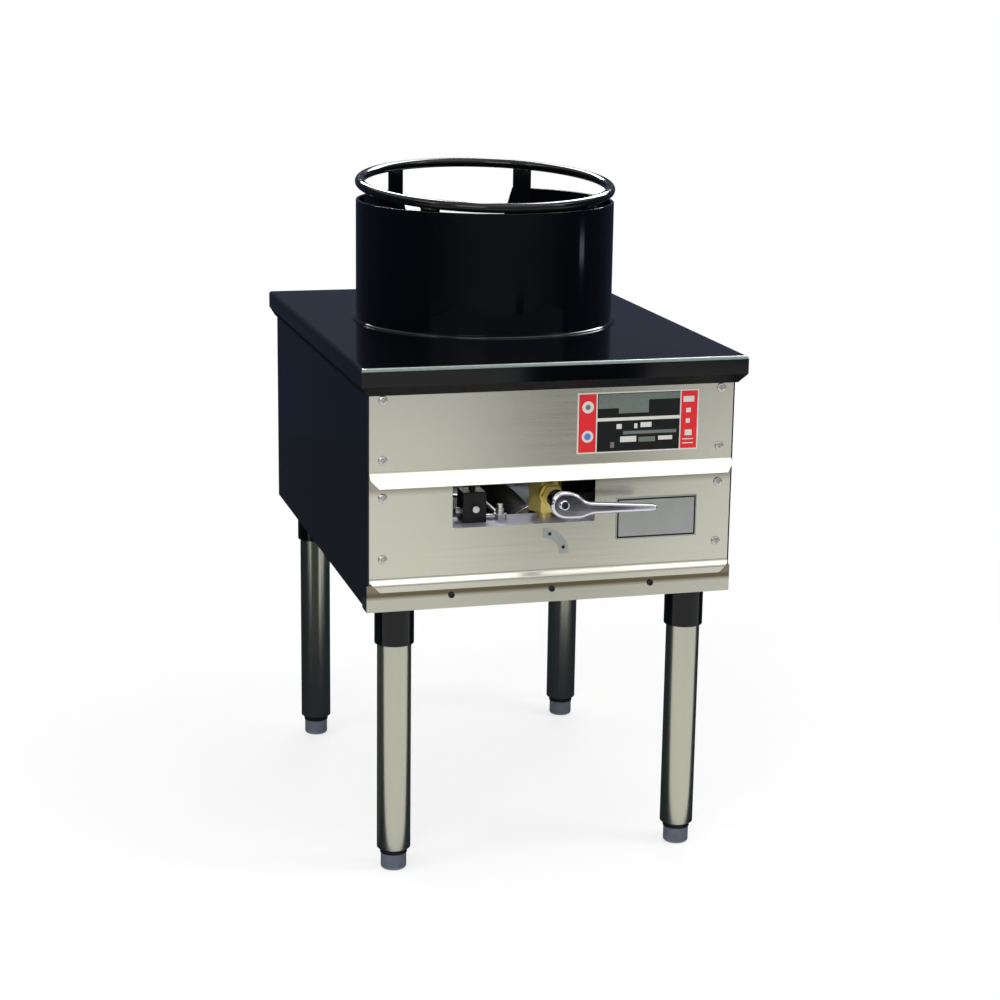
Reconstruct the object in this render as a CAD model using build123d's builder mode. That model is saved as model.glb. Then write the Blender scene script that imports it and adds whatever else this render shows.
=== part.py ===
from build123d import *

import os
from math import asin, cos, degrees, radians, sin, tan

# Free-standing wok range with one chamber, in millimetres, +Z up, standing on the floor at Z = 0.
# The cook stands at -Y. The origin is on the floor under the middle of the whole footprint.

os.makedirs("parts", exist_ok=True)

# ---------------------------------------------------------------- driving dimensions

# chassis
body_width = 457.2
body_depth = 609.6
leg_height = 346.0          # floor to the underside of the chassis
body_height = 294.0         # underside of the chassis to the underside of the top plate
side_sheet = 1.5
panel_sheet = 1.2
frame_sheet = 2.0
side_top_flange = 20.0
side_bottom_flange = 10.0
side_rear_flange = 15.0
post_leg = 28.0             # legs of the angle posts behind the front corners
top_rail_height = 52.0
top_rail_flange = 25.0
bottom_rail_height = 44.0
sheet_gap = 0.3             # clearance between pieces that lie side by side

# top plate: flat top, lip turned down, hem turned back in under the lip
plate_sheet = 2.5
plate_side_overhang = 10.7
plate_front_overhang = 15.6
lip_height = 22.0
hem_height = 12.5
plate_bend = 4.0

# chamber collar, its base ring and its flue cut-out
chamber_radius = 165.1
chamber_setback = 27.7      # chamber axis behind the middle of the chassis
collar_wall = 4.0
collar_height = 155.2
collar_skirt = 14.0         # how far the collar goes down below the top plate
base_ring_width = 6.5
base_ring_height = 3.0
base_ring_round = 1.8
flue_half_top = 79.0
flue_half_bottom = 62.0
flue_depth = 65.0

# wok ring of round rod, tipped towards the cook, and the flat tabs that carry it
ring_inset = 1.1            # rod centre inside the collar's bore
rod_radius = 6.35
ring_tilt = 4.8
weld_gap = 0.1
tab_width = 25.0
tab_thickness = 4.0
tab_lap = 40.0              # length of tab inside the collar
tab_flue_angle = 0.4        # between a rear tab and the flue cut-out
front_tab_angle = 40.0      # each side of straight ahead

# front panels with flared bottom edges
upper_panel_drop = 26.0     # top of the upper panel below the top plate
lower_bend_rise = 38.5      # bend of the lower panel above the underside of the chassis
upper_panel_share = 0.43355  # part of the front's height that the upper panel takes
upper_flare = 15.5
panel_joint_gap = 2.1
upper_corner = 9.0          # clipped corners of the upper flare
lower_flare = 6.0
lower_lip = 8.5             # upright lip below the lower flare
lower_corner = 12.0
flare_angle = 45.0          # of the flares, from upright
window_inset = 103.3        # window from the left side of the chassis
window_data_gap = 27.0      # between the window and the data plate
window_share = 0.541        # part of the lower panel's height that the window takes

# screws of the panels and the bottom channel
panel_screw_inset = 18.1
panel_screw_top = 12.0      # upper screws below the top of the upper panel
panel_screw_bend = 15.2     # upper screws above that panel's bend
lower_screw_top = 27.9
lower_screw_bend = 24.7
screw_head_radius = 5.6
screw_head_height = 3.0
screw_shank_radius = 2.0
screw_shank_length = 10.0
screw_clearance = 0.2
screw_head_round = 1.2

# stainless channel along the bottom of the front
channel_height = 32.0
channel_flange = 8.0
channel_wing_length = 25.0
channel_wing_height = 12.5
channel_screw_pitch = 126.0
channel_screw_height = 15.0

# plates on the front panels
badge_width = 154.0
badge_margin = 12.5         # upper panel above and below the badge
badge_inset = 46.6          # right edge from the side of the chassis
trim_sheet = 0.8
data_width = 104.0
data_height = 52.0
data_inset = 44.6
data_bend = 33.5            # lower edge above the lower panel's bend
arc_x = -12.2
arc_gap = 6.0               # top of the quarter ring below the window
arc_outer = 33.0
arc_inner = 21.0

# gas pipes
gas_setback = 35.0          # manifold and valve axis behind the front of the panels
manifold_rise = 36.0        # manifold axis above the valve stem
manifold_margin = 24.7      # end of the manifold beyond the left edge of the window
supply_inset = 63.6         # supply pipe from the side of the chassis
inlet_reach = 40.0          # supply pipe behind the back panel
inlet_end_length = 25.0     # turned end that takes the gas connection
inlet_end_radius = 13.0
pipe_radius = 13.35
pipe_bore = 10.4
fitting_radius = 17.5
elbow_ball_radius = 18.5
pipe_engagement = 12.0
elbow_arm = 26.0
cap_length = 22.0
cap_chamfer = 2.0
joint_gap = 0.1             # threads and pressed joints
spigot_lap = 4.0            # how far a spigot goes into the manifold

# main valve
valve_rise = 32.8           # valve stem above the shelf
valve_half_flats = 18.0
valve_body_down = 24.0
valve_body_up = 14.0
valve_spigot_radius = 8.5
valve_boss_radius = 14.0
valve_boss_length = 8.0
valve_back_wall = 3.0
valve_port = 5.5
plug_radius = 10.0
running_gap = 0.05
stem_radius = 5.0
bonnet_half_flats = 12.0
bonnet_length = 8.0

# lever handle
lever_standoff = 35.2       # panel face to the back of the lever
lever_thickness = 10.0
lever_boss_radius = 12.0
lever_boss_length = 23.0
lever_hub_radius = 16.0
lever_shoulder_reach = 14.0
lever_shoulder = 13.5       # top of the knuckle above the valve stem
lever_bar_start = 28.0
lever_bar_top = 2.5         # top of the bar above the valve stem where it leaves the knuckle
lever_tip_top = 4.5         # top of the tip below the valve stem
lever_tip_height = 9.5
lever_length = 119.0
lever_bar_under = 34.0      # where the underside of the bar leaves the knuckle
lever_bar_drop = 13.5
lever_knuckle_reach = 26.0
lever_knuckle_drop = 18.0
lever_heel_reach = 2.0
lever_heel = 9.0            # lower left edge of the knuckle left of the valve stem
lever_heel_drop = 13.0
lever_edge = 1.5
lever_tip_radius = 3.5
lever_screw_head = 3.0
lever_screw_radius = 6.0
lever_screw_shank = 2.0
lever_screw_length = 18.0

# shelf behind the window
shelf_sheet = 2.0
shelf_depth = 52.0
shelf_margin = 25.0         # beyond each side of the window
shelf_flange = 18.0

# pilot valve, its button, its adjuster and its tube
pilot_inset = 32.8          # pilot valve from the left edge of the window
pilot_width = 29.0
pilot_height = 37.8
pilot_setback = 20.0
pilot_depth = 30.0
pilot_spigot_radius = 4.0
pilot_nut_half_flats = 5.0
pilot_nut_length = 7.0
pilot_nut_rise = 11.0
pilot_nut_edge = 0.8
pilot_block_edge = 1.0
button_edge = 1.0
button_radius = 4.5
button_reach = 7.0
button_length = 21.0
button_rise = 18.0          # button axis above the shelf
button_bore_depth = 19.0
adjuster_pitch = 35.5       # adjuster from the pilot valve
adjuster_half_flats = 7.5
adjuster_base = 6.3
adjuster_neck_radius = 5.0
adjuster_neck_top = 12.0
adjuster_arm_radius = 3.0
adjuster_screw_radius = 2.5
adjuster_screw_length = 9.0
adjuster_head_radius = 4.0
adjuster_head_height = 5.7
adjuster_slot = 1.2
pilot_tube_radius = 2.8
pilot_tube_rise = 3.2       # tube axis above the shelf
pilot_tube_bend = 20.0
pilot_tube_straight = 75.0  # first straight run
pilot_burner_side = 17.0    # pilot burner beside the burner head
pilot_burner_radius = 6.0
pilot_burner_height = 60.0
pilot_burner_bore = 1.5
pilot_burner_edge = 2.0
pilot_flange_radius = 11.0
pilot_flange_sheet = 3.0

# gas outlet and mixing tube
outlet_drop = 64.0          # mixing tube axis below the valve stem
outlet_run = 40.0
outlet_radius = 10.0
outlet_bore = 6.5
outlet_bend = 20.0
hood_radius = 11.0
hood_length = 24.0
hood_tip = 4.0
orifice_radius = 1.5
mouth_gap = 12.0            # mouth of the mixing tube behind the end of the outlet
mouth_radius = 33.0
mouth_plate = 4.0
bell_radius = 30.0
bell_distance = 12.0
throat_radius = 19.0
throat_distance = 50.0
tube_radius = 23.0
tube_distance = 130.0
cast_wall = 4.0
air_port_radius = 7.0
air_port_circle_radius = 21.0
air_ports = 4
shutter_sheet = 2.0
shutter_radius = 32.0
riser_radius = 25.0

# burner
burner_drop = 64.0          # top of the burner head below the top plate
burner_radius = 95.0
burner_height = 36.0
burner_wall = 6.0
burner_edge = 2.0
riser_seat = 5.0
jet_radius = 6.0
jet_height = 24.0
jet_bore = 2.5
jet_edge = 1.2
inner_jets = 6
inner_jet_circle_radius = 36.0
outer_jets = 12
outer_jet_circle_radius = 74.0
support_width = 76.0
support_sheet = 5.0
support_flange = 30.0
burner_bolt_x = 62.0
burner_bolt_radius = 4.0
burner_bolt_half_flats = 6.5
burner_bolt_head = 5.3
burner_bolt_lap = 4.0       # how far a bolt goes into the burner's base

# legs
leg_side_inset = 41.8
front_leg_inset = 40.7
rear_leg_inset = 58.0
leg_radius = 21.0
leg_wall = 1.6
socket_wall = 3.0
socket_drop = 52.0          # socket below the chassis
socket_flange = 70.0
socket_flange_sheet = 4.0
socket_corner = 6.0
socket_bolt_pitch = 50.0
socket_bolt_radius = 3.0
socket_bolt_half_flats = 5.0
socket_bolt_head = 4.0
socket_bolt_end = 4.0       # below the bottom pan
set_screw_radius = 3.0
set_screw_drop = 30.0
set_screw_reach = 3.0
foot_reveal = 28.0          # foot below the end of the leg tube
foot_radius = 16.0
foot_shoulder_radius = 17.0
foot_shoulder = 7.0
foot_round = 3.0
foot_stem_radius = 8.0
foot_stem_length = 60.0
insert_length = 24.0

# back panel and bottom pan openings
back_screw_inset = 8.0
back_screw_low = 20.0
back_screw_drop = 49.0      # upper row of screws below the top plate
slot_length = 60.0
slot_width = 8.0
slot_pitch_x = 90.0
slot_pitch_z = 24.0
back_slot_columns = 4
pan_slot_columns = 3
slot_rows = 3
back_slot_height = 90.0
pan_slot_setback = 60.0

# ---------------------------------------------------------------- places worked out from them

lever_reach = lever_standoff + lever_thickness + lever_screw_head
body_y = (lever_reach - inlet_reach) / 2
y_front = body_y - body_depth / 2
y_back = body_y + body_depth / 2
half_width = body_width / 2
inner_half = half_width - side_sheet
panel_half = inner_half - sheet_gap
rail_half = inner_half - post_leg
y_panel_back = y_front + panel_sheet

z_body = leg_height
z_plate_under = z_body + body_height
z_plate_top = z_plate_under + plate_sheet
z_lip = z_plate_top - lip_height
z_hem = z_lip - hem_height
z_pan = z_body + side_sheet
z_pan_top = z_pan + frame_sheet
z_flange_top = z_pan_top + socket_flange_sheet
z_side_top = z_plate_under - side_sheet

z_lower_bend = z_body + lower_bend_rise
z_upper_top = z_plate_under - upper_panel_drop
upper_panel_height = upper_panel_share * (z_upper_top - z_lower_bend)
z_upper_bend = z_upper_top - upper_panel_height
z_lower_top = z_upper_bend - panel_joint_gap
window_height = window_share * (z_lower_top - z_lower_bend)
z_shelf = z_lower_top - window_height
data_left = half_width - data_inset - data_width
window_left = window_inset - half_width
window_right = data_left - window_data_gap
manifold_left = window_left - manifold_margin
pilot_x = window_left + pilot_inset
adjuster_x = pilot_x + adjuster_pitch
panel_screw_x = half_width - panel_screw_inset
z_upper_screws = (z_upper_bend + panel_screw_bend, z_upper_top - panel_screw_top)
z_lower_screws = (z_lower_bend + lower_screw_bend, z_lower_top - lower_screw_top)
screw_hole_radius = screw_shank_radius + screw_clearance

chamber_y = body_y + chamber_setback
collar_radius = chamber_radius + collar_wall
z_collar = z_plate_top + collar_height
ring_radius = chamber_radius - ring_inset
z_ring = z_collar + rod_radius + ring_radius * sin(radians(ring_tilt)) + weld_gap

valve_x = 0.0
supply_x = half_width - supply_inset
gas_y = y_front + gas_setback
z_valve = z_shelf + valve_rise
z_manifold = z_valve + manifold_rise
z_spigot = z_manifold - pipe_radius + spigot_lap
z_mix = z_valve - outlet_drop
outlet_end = gas_y + outlet_run
mouth_y = outlet_end + mouth_gap
z_burner_top = z_plate_under - burner_drop
z_burner = z_burner_top - burner_height
z_support = z_burner - support_sheet

leg_x = half_width - leg_side_inset
front_leg_y = y_front + front_leg_inset
rear_leg_y = y_back - rear_leg_inset
socket_bore = leg_radius + sheet_gap
socket_radius = socket_bore + socket_wall
leg_places = {
    "front_left": (-leg_x, front_leg_y),
    "front_right": (leg_x, front_leg_y),
    "rear_left": (-leg_x, rear_leg_y),
    "rear_right": (leg_x, rear_leg_y),
}
leg_spots = list(leg_places.values())


def level(z):
    """Horizontal plane at height z."""
    return Plane.XY.offset(z)


def across(y, z=0, x=0):
    """Upright plane facing the cook at depth y: its X is the range's X and its Y is up."""
    return Plane(origin=(x, y, z), x_dir=(1, 0, 0), z_dir=(0, -1, 0))


def lengthwise(x, z=0, y=0):
    """Upright plane facing right at x: its X is the range's Y and its Y is up."""
    return Plane(origin=(x, y, z), x_dir=(0, 1, 0), z_dir=(1, 0, 0))


# ---------------------------------------------------------------- top plate

plate_half = half_width + plate_side_overhang
plate_front = y_front - plate_front_overhang
plate_rear = y_back + sheet_gap + plate_sheet
hem_half = half_width + sheet_gap + plate_sheet
hem_front = y_front - sheet_gap - plate_sheet


def plate_outline(half, front, rear):
    """Rectangle from its half width and its front and rear edges."""
    with Locations((0, (front + rear) / 2)):
        Rectangle(2 * half, rear - front)


with BuildPart() as top_plate:
    with BuildSketch(level(z_lip)):
        plate_outline(plate_half, plate_front, plate_rear)
    extrude(amount=lip_height)
    fillet(top_plate.faces().sort_by(Axis.Z)[-1].edges(), plate_bend)
    with BuildSketch(level(z_hem)):
        plate_outline(hem_half, hem_front, plate_rear)
    with BuildSketch(level(z_lip)):
        plate_outline(plate_half, plate_front, plate_rear)
    loft(ruled=True)
    with BuildSketch(level(z_lip)):
        plate_outline(plate_half - plate_sheet, plate_front + plate_sheet, plate_rear - plate_sheet)
    extrude(amount=z_plate_under - z_lip, mode=Mode.SUBTRACT)
    with BuildSketch(level(z_hem)):
        plate_outline(hem_half - plate_sheet, hem_front + plate_sheet, plate_rear - plate_sheet)
    with BuildSketch(level(z_lip)):
        plate_outline(plate_half - plate_sheet, plate_front + plate_sheet, plate_rear - plate_sheet)
    loft(ruled=True, mode=Mode.SUBTRACT)
    with BuildSketch(level(z_plate_under)):
        with Locations((0, chamber_y)):
            Circle(collar_radius + sheet_gap)
    extrude(amount=plate_sheet, mode=Mode.SUBTRACT)
top_plate.part.label = "top_plate"
export_step(top_plate.part, "parts/top_plate.step")

# ---------------------------------------------------------------- chamber collar and base ring

with BuildPart() as chamber_collar:
    with BuildSketch(level(z_plate_under - collar_skirt)):
        with Locations((0, chamber_y)):
            Circle(collar_radius)
            Circle(chamber_radius, mode=Mode.SUBTRACT)
    extrude(amount=z_collar - z_plate_under + collar_skirt)
    with BuildSketch(across(chamber_y, z_collar)):
        with BuildLine():
            Polyline(
                (-flue_half_top, 0),
                (-flue_half_bottom, -flue_depth),
                (flue_half_bottom, -flue_depth),
                (flue_half_top, 0),
                close=True,
            )
        make_face()
    extrude(amount=-2 * collar_radius, mode=Mode.SUBTRACT)
chamber_collar.part.label = "chamber_collar"
export_step(chamber_collar.part, "parts/chamber_collar.step")

with BuildPart() as collar_base_ring:
    with BuildSketch(level(z_plate_top)):
        with Locations((0, chamber_y)):
            Circle(collar_radius + base_ring_width)
            Circle(collar_radius + sheet_gap, mode=Mode.SUBTRACT)
    extrude(amount=base_ring_height)
    ring_top_edges = collar_base_ring.faces().sort_by(Axis.Z)[-1].edges()
    fillet(ring_top_edges.sort_by(SortBy.LENGTH)[-1], base_ring_round)
collar_base_ring.part.label = "collar_base_ring"
export_step(collar_base_ring.part, "parts/collar_base_ring.step")

# ---------------------------------------------------------------- wok ring and its tabs

with BuildPart() as wok_ring:
    with Locations((0, chamber_y, z_ring)):
        Torus(ring_radius, rod_radius, rotation=(ring_tilt, 0, 0))
wok_ring.part.label = "wok_ring"
export_step(wok_ring.part, "parts/wok_ring.step")

tab_radius = chamber_radius - tab_thickness / 2 - 3 * sheet_gap
half_tab_angle = degrees(asin(tab_width / 2 / chamber_radius))
flue_angle = degrees(asin(flue_half_top / chamber_radius))
rear_tab_angle = flue_angle + half_tab_angle + tab_flue_angle
tab_angles = (90 - rear_tab_angle, 90 + rear_tab_angle, 270 - front_tab_angle, 270 + front_tab_angle)
with BuildPart() as ring_tabs:
    for tab_angle in tab_angles:
        ring_rise = ring_radius * sin(radians(tab_angle)) * sin(radians(ring_tilt))
        with BuildSketch(level(z_collar - tab_lap)):
            with Locations((0, chamber_y)):
                with PolarLocations(tab_radius, 1, start_angle=tab_angle):
                    Rectangle(tab_thickness, tab_width)
        extrude(amount=tab_lap + z_ring + ring_rise - z_collar)
    with Locations((0, chamber_y, z_ring)):
        Torus(ring_radius, rod_radius + weld_gap, rotation=(ring_tilt, 0, 0), mode=Mode.SUBTRACT)
ring_tabs.part.label = "ring_tabs"
export_step(ring_tabs.part, "parts/ring_tabs.step")

# ---------------------------------------------------------------- side and back panels

back_screw_span = body_height - back_screw_drop - back_screw_low
z_back_screws = z_body + back_screw_low + back_screw_span / 2
back_screw_x = inner_half - back_screw_inset
back_screw_pitch = back_screw_span / 2

for side_name, side in (("left", -1), ("right", 1)):
    with BuildPart() as side_panel:
        with BuildSketch(across(y_front, z_body)):
            with BuildLine():
                Polyline(
                    (side * half_width, 0),
                    (side * half_width, body_height),
                    (side * (half_width - side_top_flange), body_height),
                    (side * (half_width - side_top_flange), body_height - side_sheet),
                    (side * inner_half, body_height - side_sheet),
                    (side * inner_half, side_sheet),
                    (side * (half_width - side_bottom_flange), side_sheet),
                    (side * (half_width - side_bottom_flange), 0),
                    close=True,
                )
            make_face()
        extrude(amount=-body_depth)
        with BuildSketch(across(y_back - panel_sheet, z_body + body_height / 2)):
            with Locations((side * (inner_half - side_rear_flange / 2), 0)):
                Rectangle(side_rear_flange, body_height - 2 * side_sheet)
        extrude(amount=side_sheet)
        with BuildSketch(across(y_back, z_back_screws)):
            with GridLocations(2 * back_screw_x, back_screw_pitch, 2, 3):
                Circle(screw_hole_radius)
        extrude(amount=panel_sheet + side_sheet, mode=Mode.SUBTRACT)
    side_panel.part.label = side_name + "_side_panel"
    export_step(side_panel.part, "parts/" + side_name + "_side_panel.step")

z_back_low = z_pan_top + sheet_gap
z_back_high = z_side_top - sheet_gap
z_back_slots = z_body + back_slot_height

with BuildPart() as back_panel:
    with BuildSketch(across(y_back, (z_back_low + z_back_high) / 2)):
        Rectangle(2 * panel_half, z_back_high - z_back_low)
    extrude(amount=panel_sheet)
    with BuildSketch(across(y_back, z_back_screws)):
        with GridLocations(2 * back_screw_x, back_screw_pitch, 2, 3):
            Circle(screw_hole_radius)
    extrude(amount=panel_sheet, mode=Mode.SUBTRACT)
    with BuildSketch(across(y_back, z_back_slots)):
        with GridLocations(slot_pitch_x, slot_pitch_z, back_slot_columns, slot_rows):
            SlotOverall(slot_length, slot_width)
    extrude(amount=panel_sheet, mode=Mode.SUBTRACT)
    with BuildSketch(across(y_back, z_manifold, supply_x)):
        Circle(pipe_radius + sheet_gap)
    extrude(amount=panel_sheet, mode=Mode.SUBTRACT)
back_panel.part.label = "back_panel"
export_step(back_panel.part, "parts/back_panel.step")

with BuildPart() as back_panel_screws:
    with BuildSketch(across(y_back, z_back_screws)):
        with GridLocations(2 * back_screw_x, back_screw_pitch, 2, 3):
            Circle(screw_head_radius)
    extrude(amount=-screw_head_height)
    fillet(back_panel_screws.faces().filter_by(Axis.Y).group_by(Axis.Y)[-1].edges(), screw_head_round)
    with BuildSketch(across(y_back, z_back_screws)):
        with GridLocations(2 * back_screw_x, back_screw_pitch, 2, 3):
            Circle(screw_shank_radius)
    extrude(amount=screw_shank_length)
back_panel_screws.part.label = "back_panel_screws"
export_step(back_panel_screws.part, "parts/back_panel_screws.step")

# ---------------------------------------------------------------- bottom pan

pan_front = y_front + sheet_gap
pan_rear = y_back - panel_sheet - side_sheet - sheet_gap

with BuildPart() as bottom_pan:
    with BuildSketch(level(z_pan)):
        with Locations((0, (pan_front + pan_rear) / 2)):
            Rectangle(2 * panel_half, pan_rear - pan_front)
        with Locations(*leg_spots):
            Circle(socket_radius + sheet_gap, mode=Mode.SUBTRACT)
            with GridLocations(socket_bolt_pitch, socket_bolt_pitch, 2, 2):
                Circle(socket_bolt_radius + screw_clearance, mode=Mode.SUBTRACT)
        with Locations((0, body_y - pan_slot_setback)):
            with GridLocations(slot_pitch_x, slot_pitch_z, pan_slot_columns, slot_rows):
                SlotOverall(slot_length, slot_width, mode=Mode.SUBTRACT)
    extrude(amount=frame_sheet)
bottom_pan.part.label = "bottom_pan"
export_step(bottom_pan.part, "parts/bottom_pan.step")

# ---------------------------------------------------------------- front posts and rails

for side_name, side in (("left", -1), ("right", 1)):
    with BuildPart() as front_post:
        with BuildSketch(level(z_pan_top)):
            with BuildLine():
                Polyline(
                    (side * inner_half, y_panel_back),
                    (side * rail_half, y_panel_back),
                    (side * rail_half, y_panel_back + frame_sheet),
                    (side * (inner_half - frame_sheet), y_panel_back + frame_sheet),
                    (side * (inner_half - frame_sheet), y_panel_back + post_leg),
                    (side * inner_half, y_panel_back + post_leg),
                    close=True,
                )
            make_face()
        extrude(amount=z_side_top - z_pan_top)
        for screw_z in z_upper_screws + z_lower_screws:
            with BuildSketch(across(y_front, screw_z, side * panel_screw_x)):
                Circle(screw_hole_radius)
            extrude(amount=-panel_sheet - frame_sheet, mode=Mode.SUBTRACT)
    front_post.part.label = "front_post_" + side_name
    export_step(front_post.part, "parts/front_post_" + side_name + ".step")

with BuildPart() as front_top_rail:
    with BuildSketch(lengthwise(-rail_half, z_plate_under, y_panel_back)):
        with BuildLine():
            Polyline(
                (0, 0),
                (top_rail_flange, 0),
                (top_rail_flange, -frame_sheet),
                (frame_sheet, -frame_sheet),
                (frame_sheet, -top_rail_height),
                (0, -top_rail_height),
                close=True,
            )
        make_face()
    extrude(amount=2 * rail_half)
front_top_rail.part.label = "front_top_rail"
export_step(front_top_rail.part, "parts/front_top_rail.step")

z_channel_screws = z_body + channel_screw_height

with BuildPart() as front_bottom_rail:
    with BuildSketch(across(y_panel_back, z_pan_top + bottom_rail_height / 2)):
        Rectangle(2 * rail_half, bottom_rail_height)
    extrude(amount=-frame_sheet)
    with BuildSketch(across(y_panel_back, z_channel_screws)):
        with GridLocations(channel_screw_pitch, 1, 3, 1):
            Circle(screw_hole_radius)
    extrude(amount=-frame_sheet, mode=Mode.SUBTRACT)
front_bottom_rail.part.label = "front_bottom_rail"
export_step(front_bottom_rail.part, "parts/front_bottom_rail.step")

# ---------------------------------------------------------------- channel along the bottom

channel_half = half_width + sheet_gap + panel_sheet
z_channel = z_body - panel_sheet
y_channel = y_front - panel_sheet

with BuildPart() as bottom_front_channel:
    with BuildSketch(across(y_front, z_channel + (channel_height + panel_sheet) / 2)):
        Rectangle(2 * channel_half, channel_height + panel_sheet)
    extrude(amount=panel_sheet)
    with BuildSketch(level(z_channel)):
        with Locations((0, y_channel + (channel_flange + panel_sheet) / 2)):
            Rectangle(2 * channel_half, channel_flange + panel_sheet)
    extrude(amount=panel_sheet)
    for side in (-1, 1):
        with BuildSketch(level(z_channel)):
            with Locations((side * (channel_half - panel_sheet / 2), y_channel + channel_wing_length / 2)):
                Rectangle(panel_sheet, channel_wing_length)
        extrude(amount=channel_wing_height + panel_sheet)
    with BuildSketch(across(y_front, z_channel_screws)):
        with GridLocations(channel_screw_pitch, 1, 3, 1):
            Circle(screw_hole_radius)
    extrude(amount=panel_sheet, mode=Mode.SUBTRACT)
bottom_front_channel.part.label = "bottom_front_channel"
export_step(bottom_front_channel.part, "parts/bottom_front_channel.step")

with BuildPart() as channel_screws:
    with BuildSketch(across(y_channel, z_channel_screws)):
        with GridLocations(channel_screw_pitch, 1, 3, 1):
            Circle(screw_head_radius)
    extrude(amount=screw_head_height)
    fillet(channel_screws.faces().filter_by(Axis.Y).group_by(Axis.Y)[0].edges(), screw_head_round)
    with BuildSketch(across(y_channel, z_channel_screws)):
        with GridLocations(channel_screw_pitch, 1, 3, 1):
            Circle(screw_shank_radius)
    extrude(amount=-screw_shank_length)
channel_screws.part.label = "channel_screws"
export_step(channel_screws.part, "parts/channel_screws.step")

# ---------------------------------------------------------------- front panels

flare_slope = radians(flare_angle)
bend_offset = panel_sheet * tan(flare_slope / 2)


def flared_profile(top, bend, flare, lip):
    """Section of an upright sheet that flares forward below its bend, with or without an upright lip."""
    flare_drop = flare / tan(flare_slope)
    if lip:
        lower_edge = [
            (panel_sheet - flare, -flare_drop - bend_offset),
            (panel_sheet - flare, -flare_drop - lip),
            (-flare, -flare_drop - lip),
        ]
    else:
        lower_edge = [(panel_sheet * cos(flare_slope) - flare, -flare_drop - panel_sheet * sin(flare_slope))]
    with BuildSketch(lengthwise(-panel_half, bend, y_front)) as profile:
        with BuildLine():
            Polyline(
                (0, top - bend),
                (panel_sheet, top - bend),
                (panel_sheet, -bend_offset),
                *lower_edge,
                (-flare, -flare_drop),
                (0, 0),
                close=True,
            )
        make_face()
    return profile.sketch


def corner_clips(bend, drop, corner):
    """Triangles that clip both lower corners of a flare that ends at drop below the bend."""
    clip = corner + panel_sheet
    with BuildSketch(across(y_front, bend - drop - panel_sheet)) as clips:
        for side in (-1, 1):
            with BuildLine():
                corner = side * panel_half
                Polyline((corner, 0), (corner - side * clip, 0), (corner, clip), close=True)
            make_face()
    return clips.sketch


front_panels = {
    "upper": (z_upper_top, z_upper_bend, upper_flare, 0, upper_corner, z_upper_screws),
    "lower": (z_lower_top, z_lower_bend, lower_flare, lower_lip, lower_corner, z_lower_screws),
}
window_x = (window_left + window_right) / 2

for panel_name, (panel_top, panel_bend, flare, lip, corner, screw_heights) in front_panels.items():
    with BuildPart() as front_panel:
        extrude(flared_profile(panel_top, panel_bend, flare, lip), amount=2 * panel_half)
        clips = corner_clips(panel_bend, flare / tan(flare_slope) + lip, corner)
        extrude(clips, amount=flare + panel_sheet, mode=Mode.SUBTRACT)
        for screw_z in screw_heights:
            with BuildSketch(across(y_front, screw_z)):
                with GridLocations(2 * panel_screw_x, 1, 2, 1):
                    Circle(screw_hole_radius)
            extrude(amount=-panel_sheet, mode=Mode.SUBTRACT)
        if panel_name == "lower":
            with BuildSketch(across(y_front, z_lower_top - window_height / 2, window_x)):
                Rectangle(window_right - window_left, window_height)
            extrude(amount=-panel_sheet, mode=Mode.SUBTRACT)
    front_panel.part.label = panel_name + "_front_panel"
    export_step(front_panel.part, "parts/" + panel_name + "_front_panel.step")

    with BuildPart() as panel_screws:
        for screw_z in screw_heights:
            with BuildSketch(across(y_front, screw_z)):
                with GridLocations(2 * panel_screw_x, 1, 2, 1):
                    Circle(screw_head_radius)
            extrude(amount=screw_head_height)
        fillet(panel_screws.faces().filter_by(Axis.Y).group_by(Axis.Y)[0].edges(), screw_head_round)
        for screw_z in screw_heights:
            with BuildSketch(across(y_front, screw_z)):
                with GridLocations(2 * panel_screw_x, 1, 2, 1):
                    Circle(screw_shank_radius)
            extrude(amount=-screw_shank_length)
    panel_screws.part.label = panel_name + "_panel_screws"
    export_step(panel_screws.part, "parts/" + panel_name + "_panel_screws.step")

# ---------------------------------------------------------------- plates on the front panels

badge_x = half_width - badge_inset - badge_width / 2
badge_z = z_upper_bend + upper_panel_height / 2
badge_height = upper_panel_height - 2 * badge_margin
data_x = data_left + data_width / 2
data_z = z_lower_bend + data_bend + data_height / 2

with BuildPart() as badge_plate:
    with BuildSketch(across(y_front, badge_z, badge_x)):
        Rectangle(badge_width, badge_height)
    extrude(amount=trim_sheet)
badge_plate.part.label = "badge_plate"
export_step(badge_plate.part, "parts/badge_plate.step")

with BuildPart() as data_plate:
    with BuildSketch(across(y_front, data_z, data_x)):
        Rectangle(data_width, data_height)
    extrude(amount=trim_sheet)
data_plate.part.label = "data_plate"
export_step(data_plate.part, "parts/data_plate.step")

with BuildPart() as arc_plate:
    with BuildSketch(across(y_front, z_shelf - arc_gap - arc_outer, arc_x)):
        Circle(arc_outer)
        Circle(arc_inner, mode=Mode.SUBTRACT)
        Rectangle(arc_outer, arc_outer, align=(Align.MIN, Align.MIN), mode=Mode.INTERSECT)
    extrude(amount=trim_sheet)
arc_plate.part.label = "arc_plate"
export_step(arc_plate.part, "parts/arc_plate.step")

# ---------------------------------------------------------------- shelf behind the window

shelf_left = window_left - shelf_margin
shelf_right = window_right + shelf_margin

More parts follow.
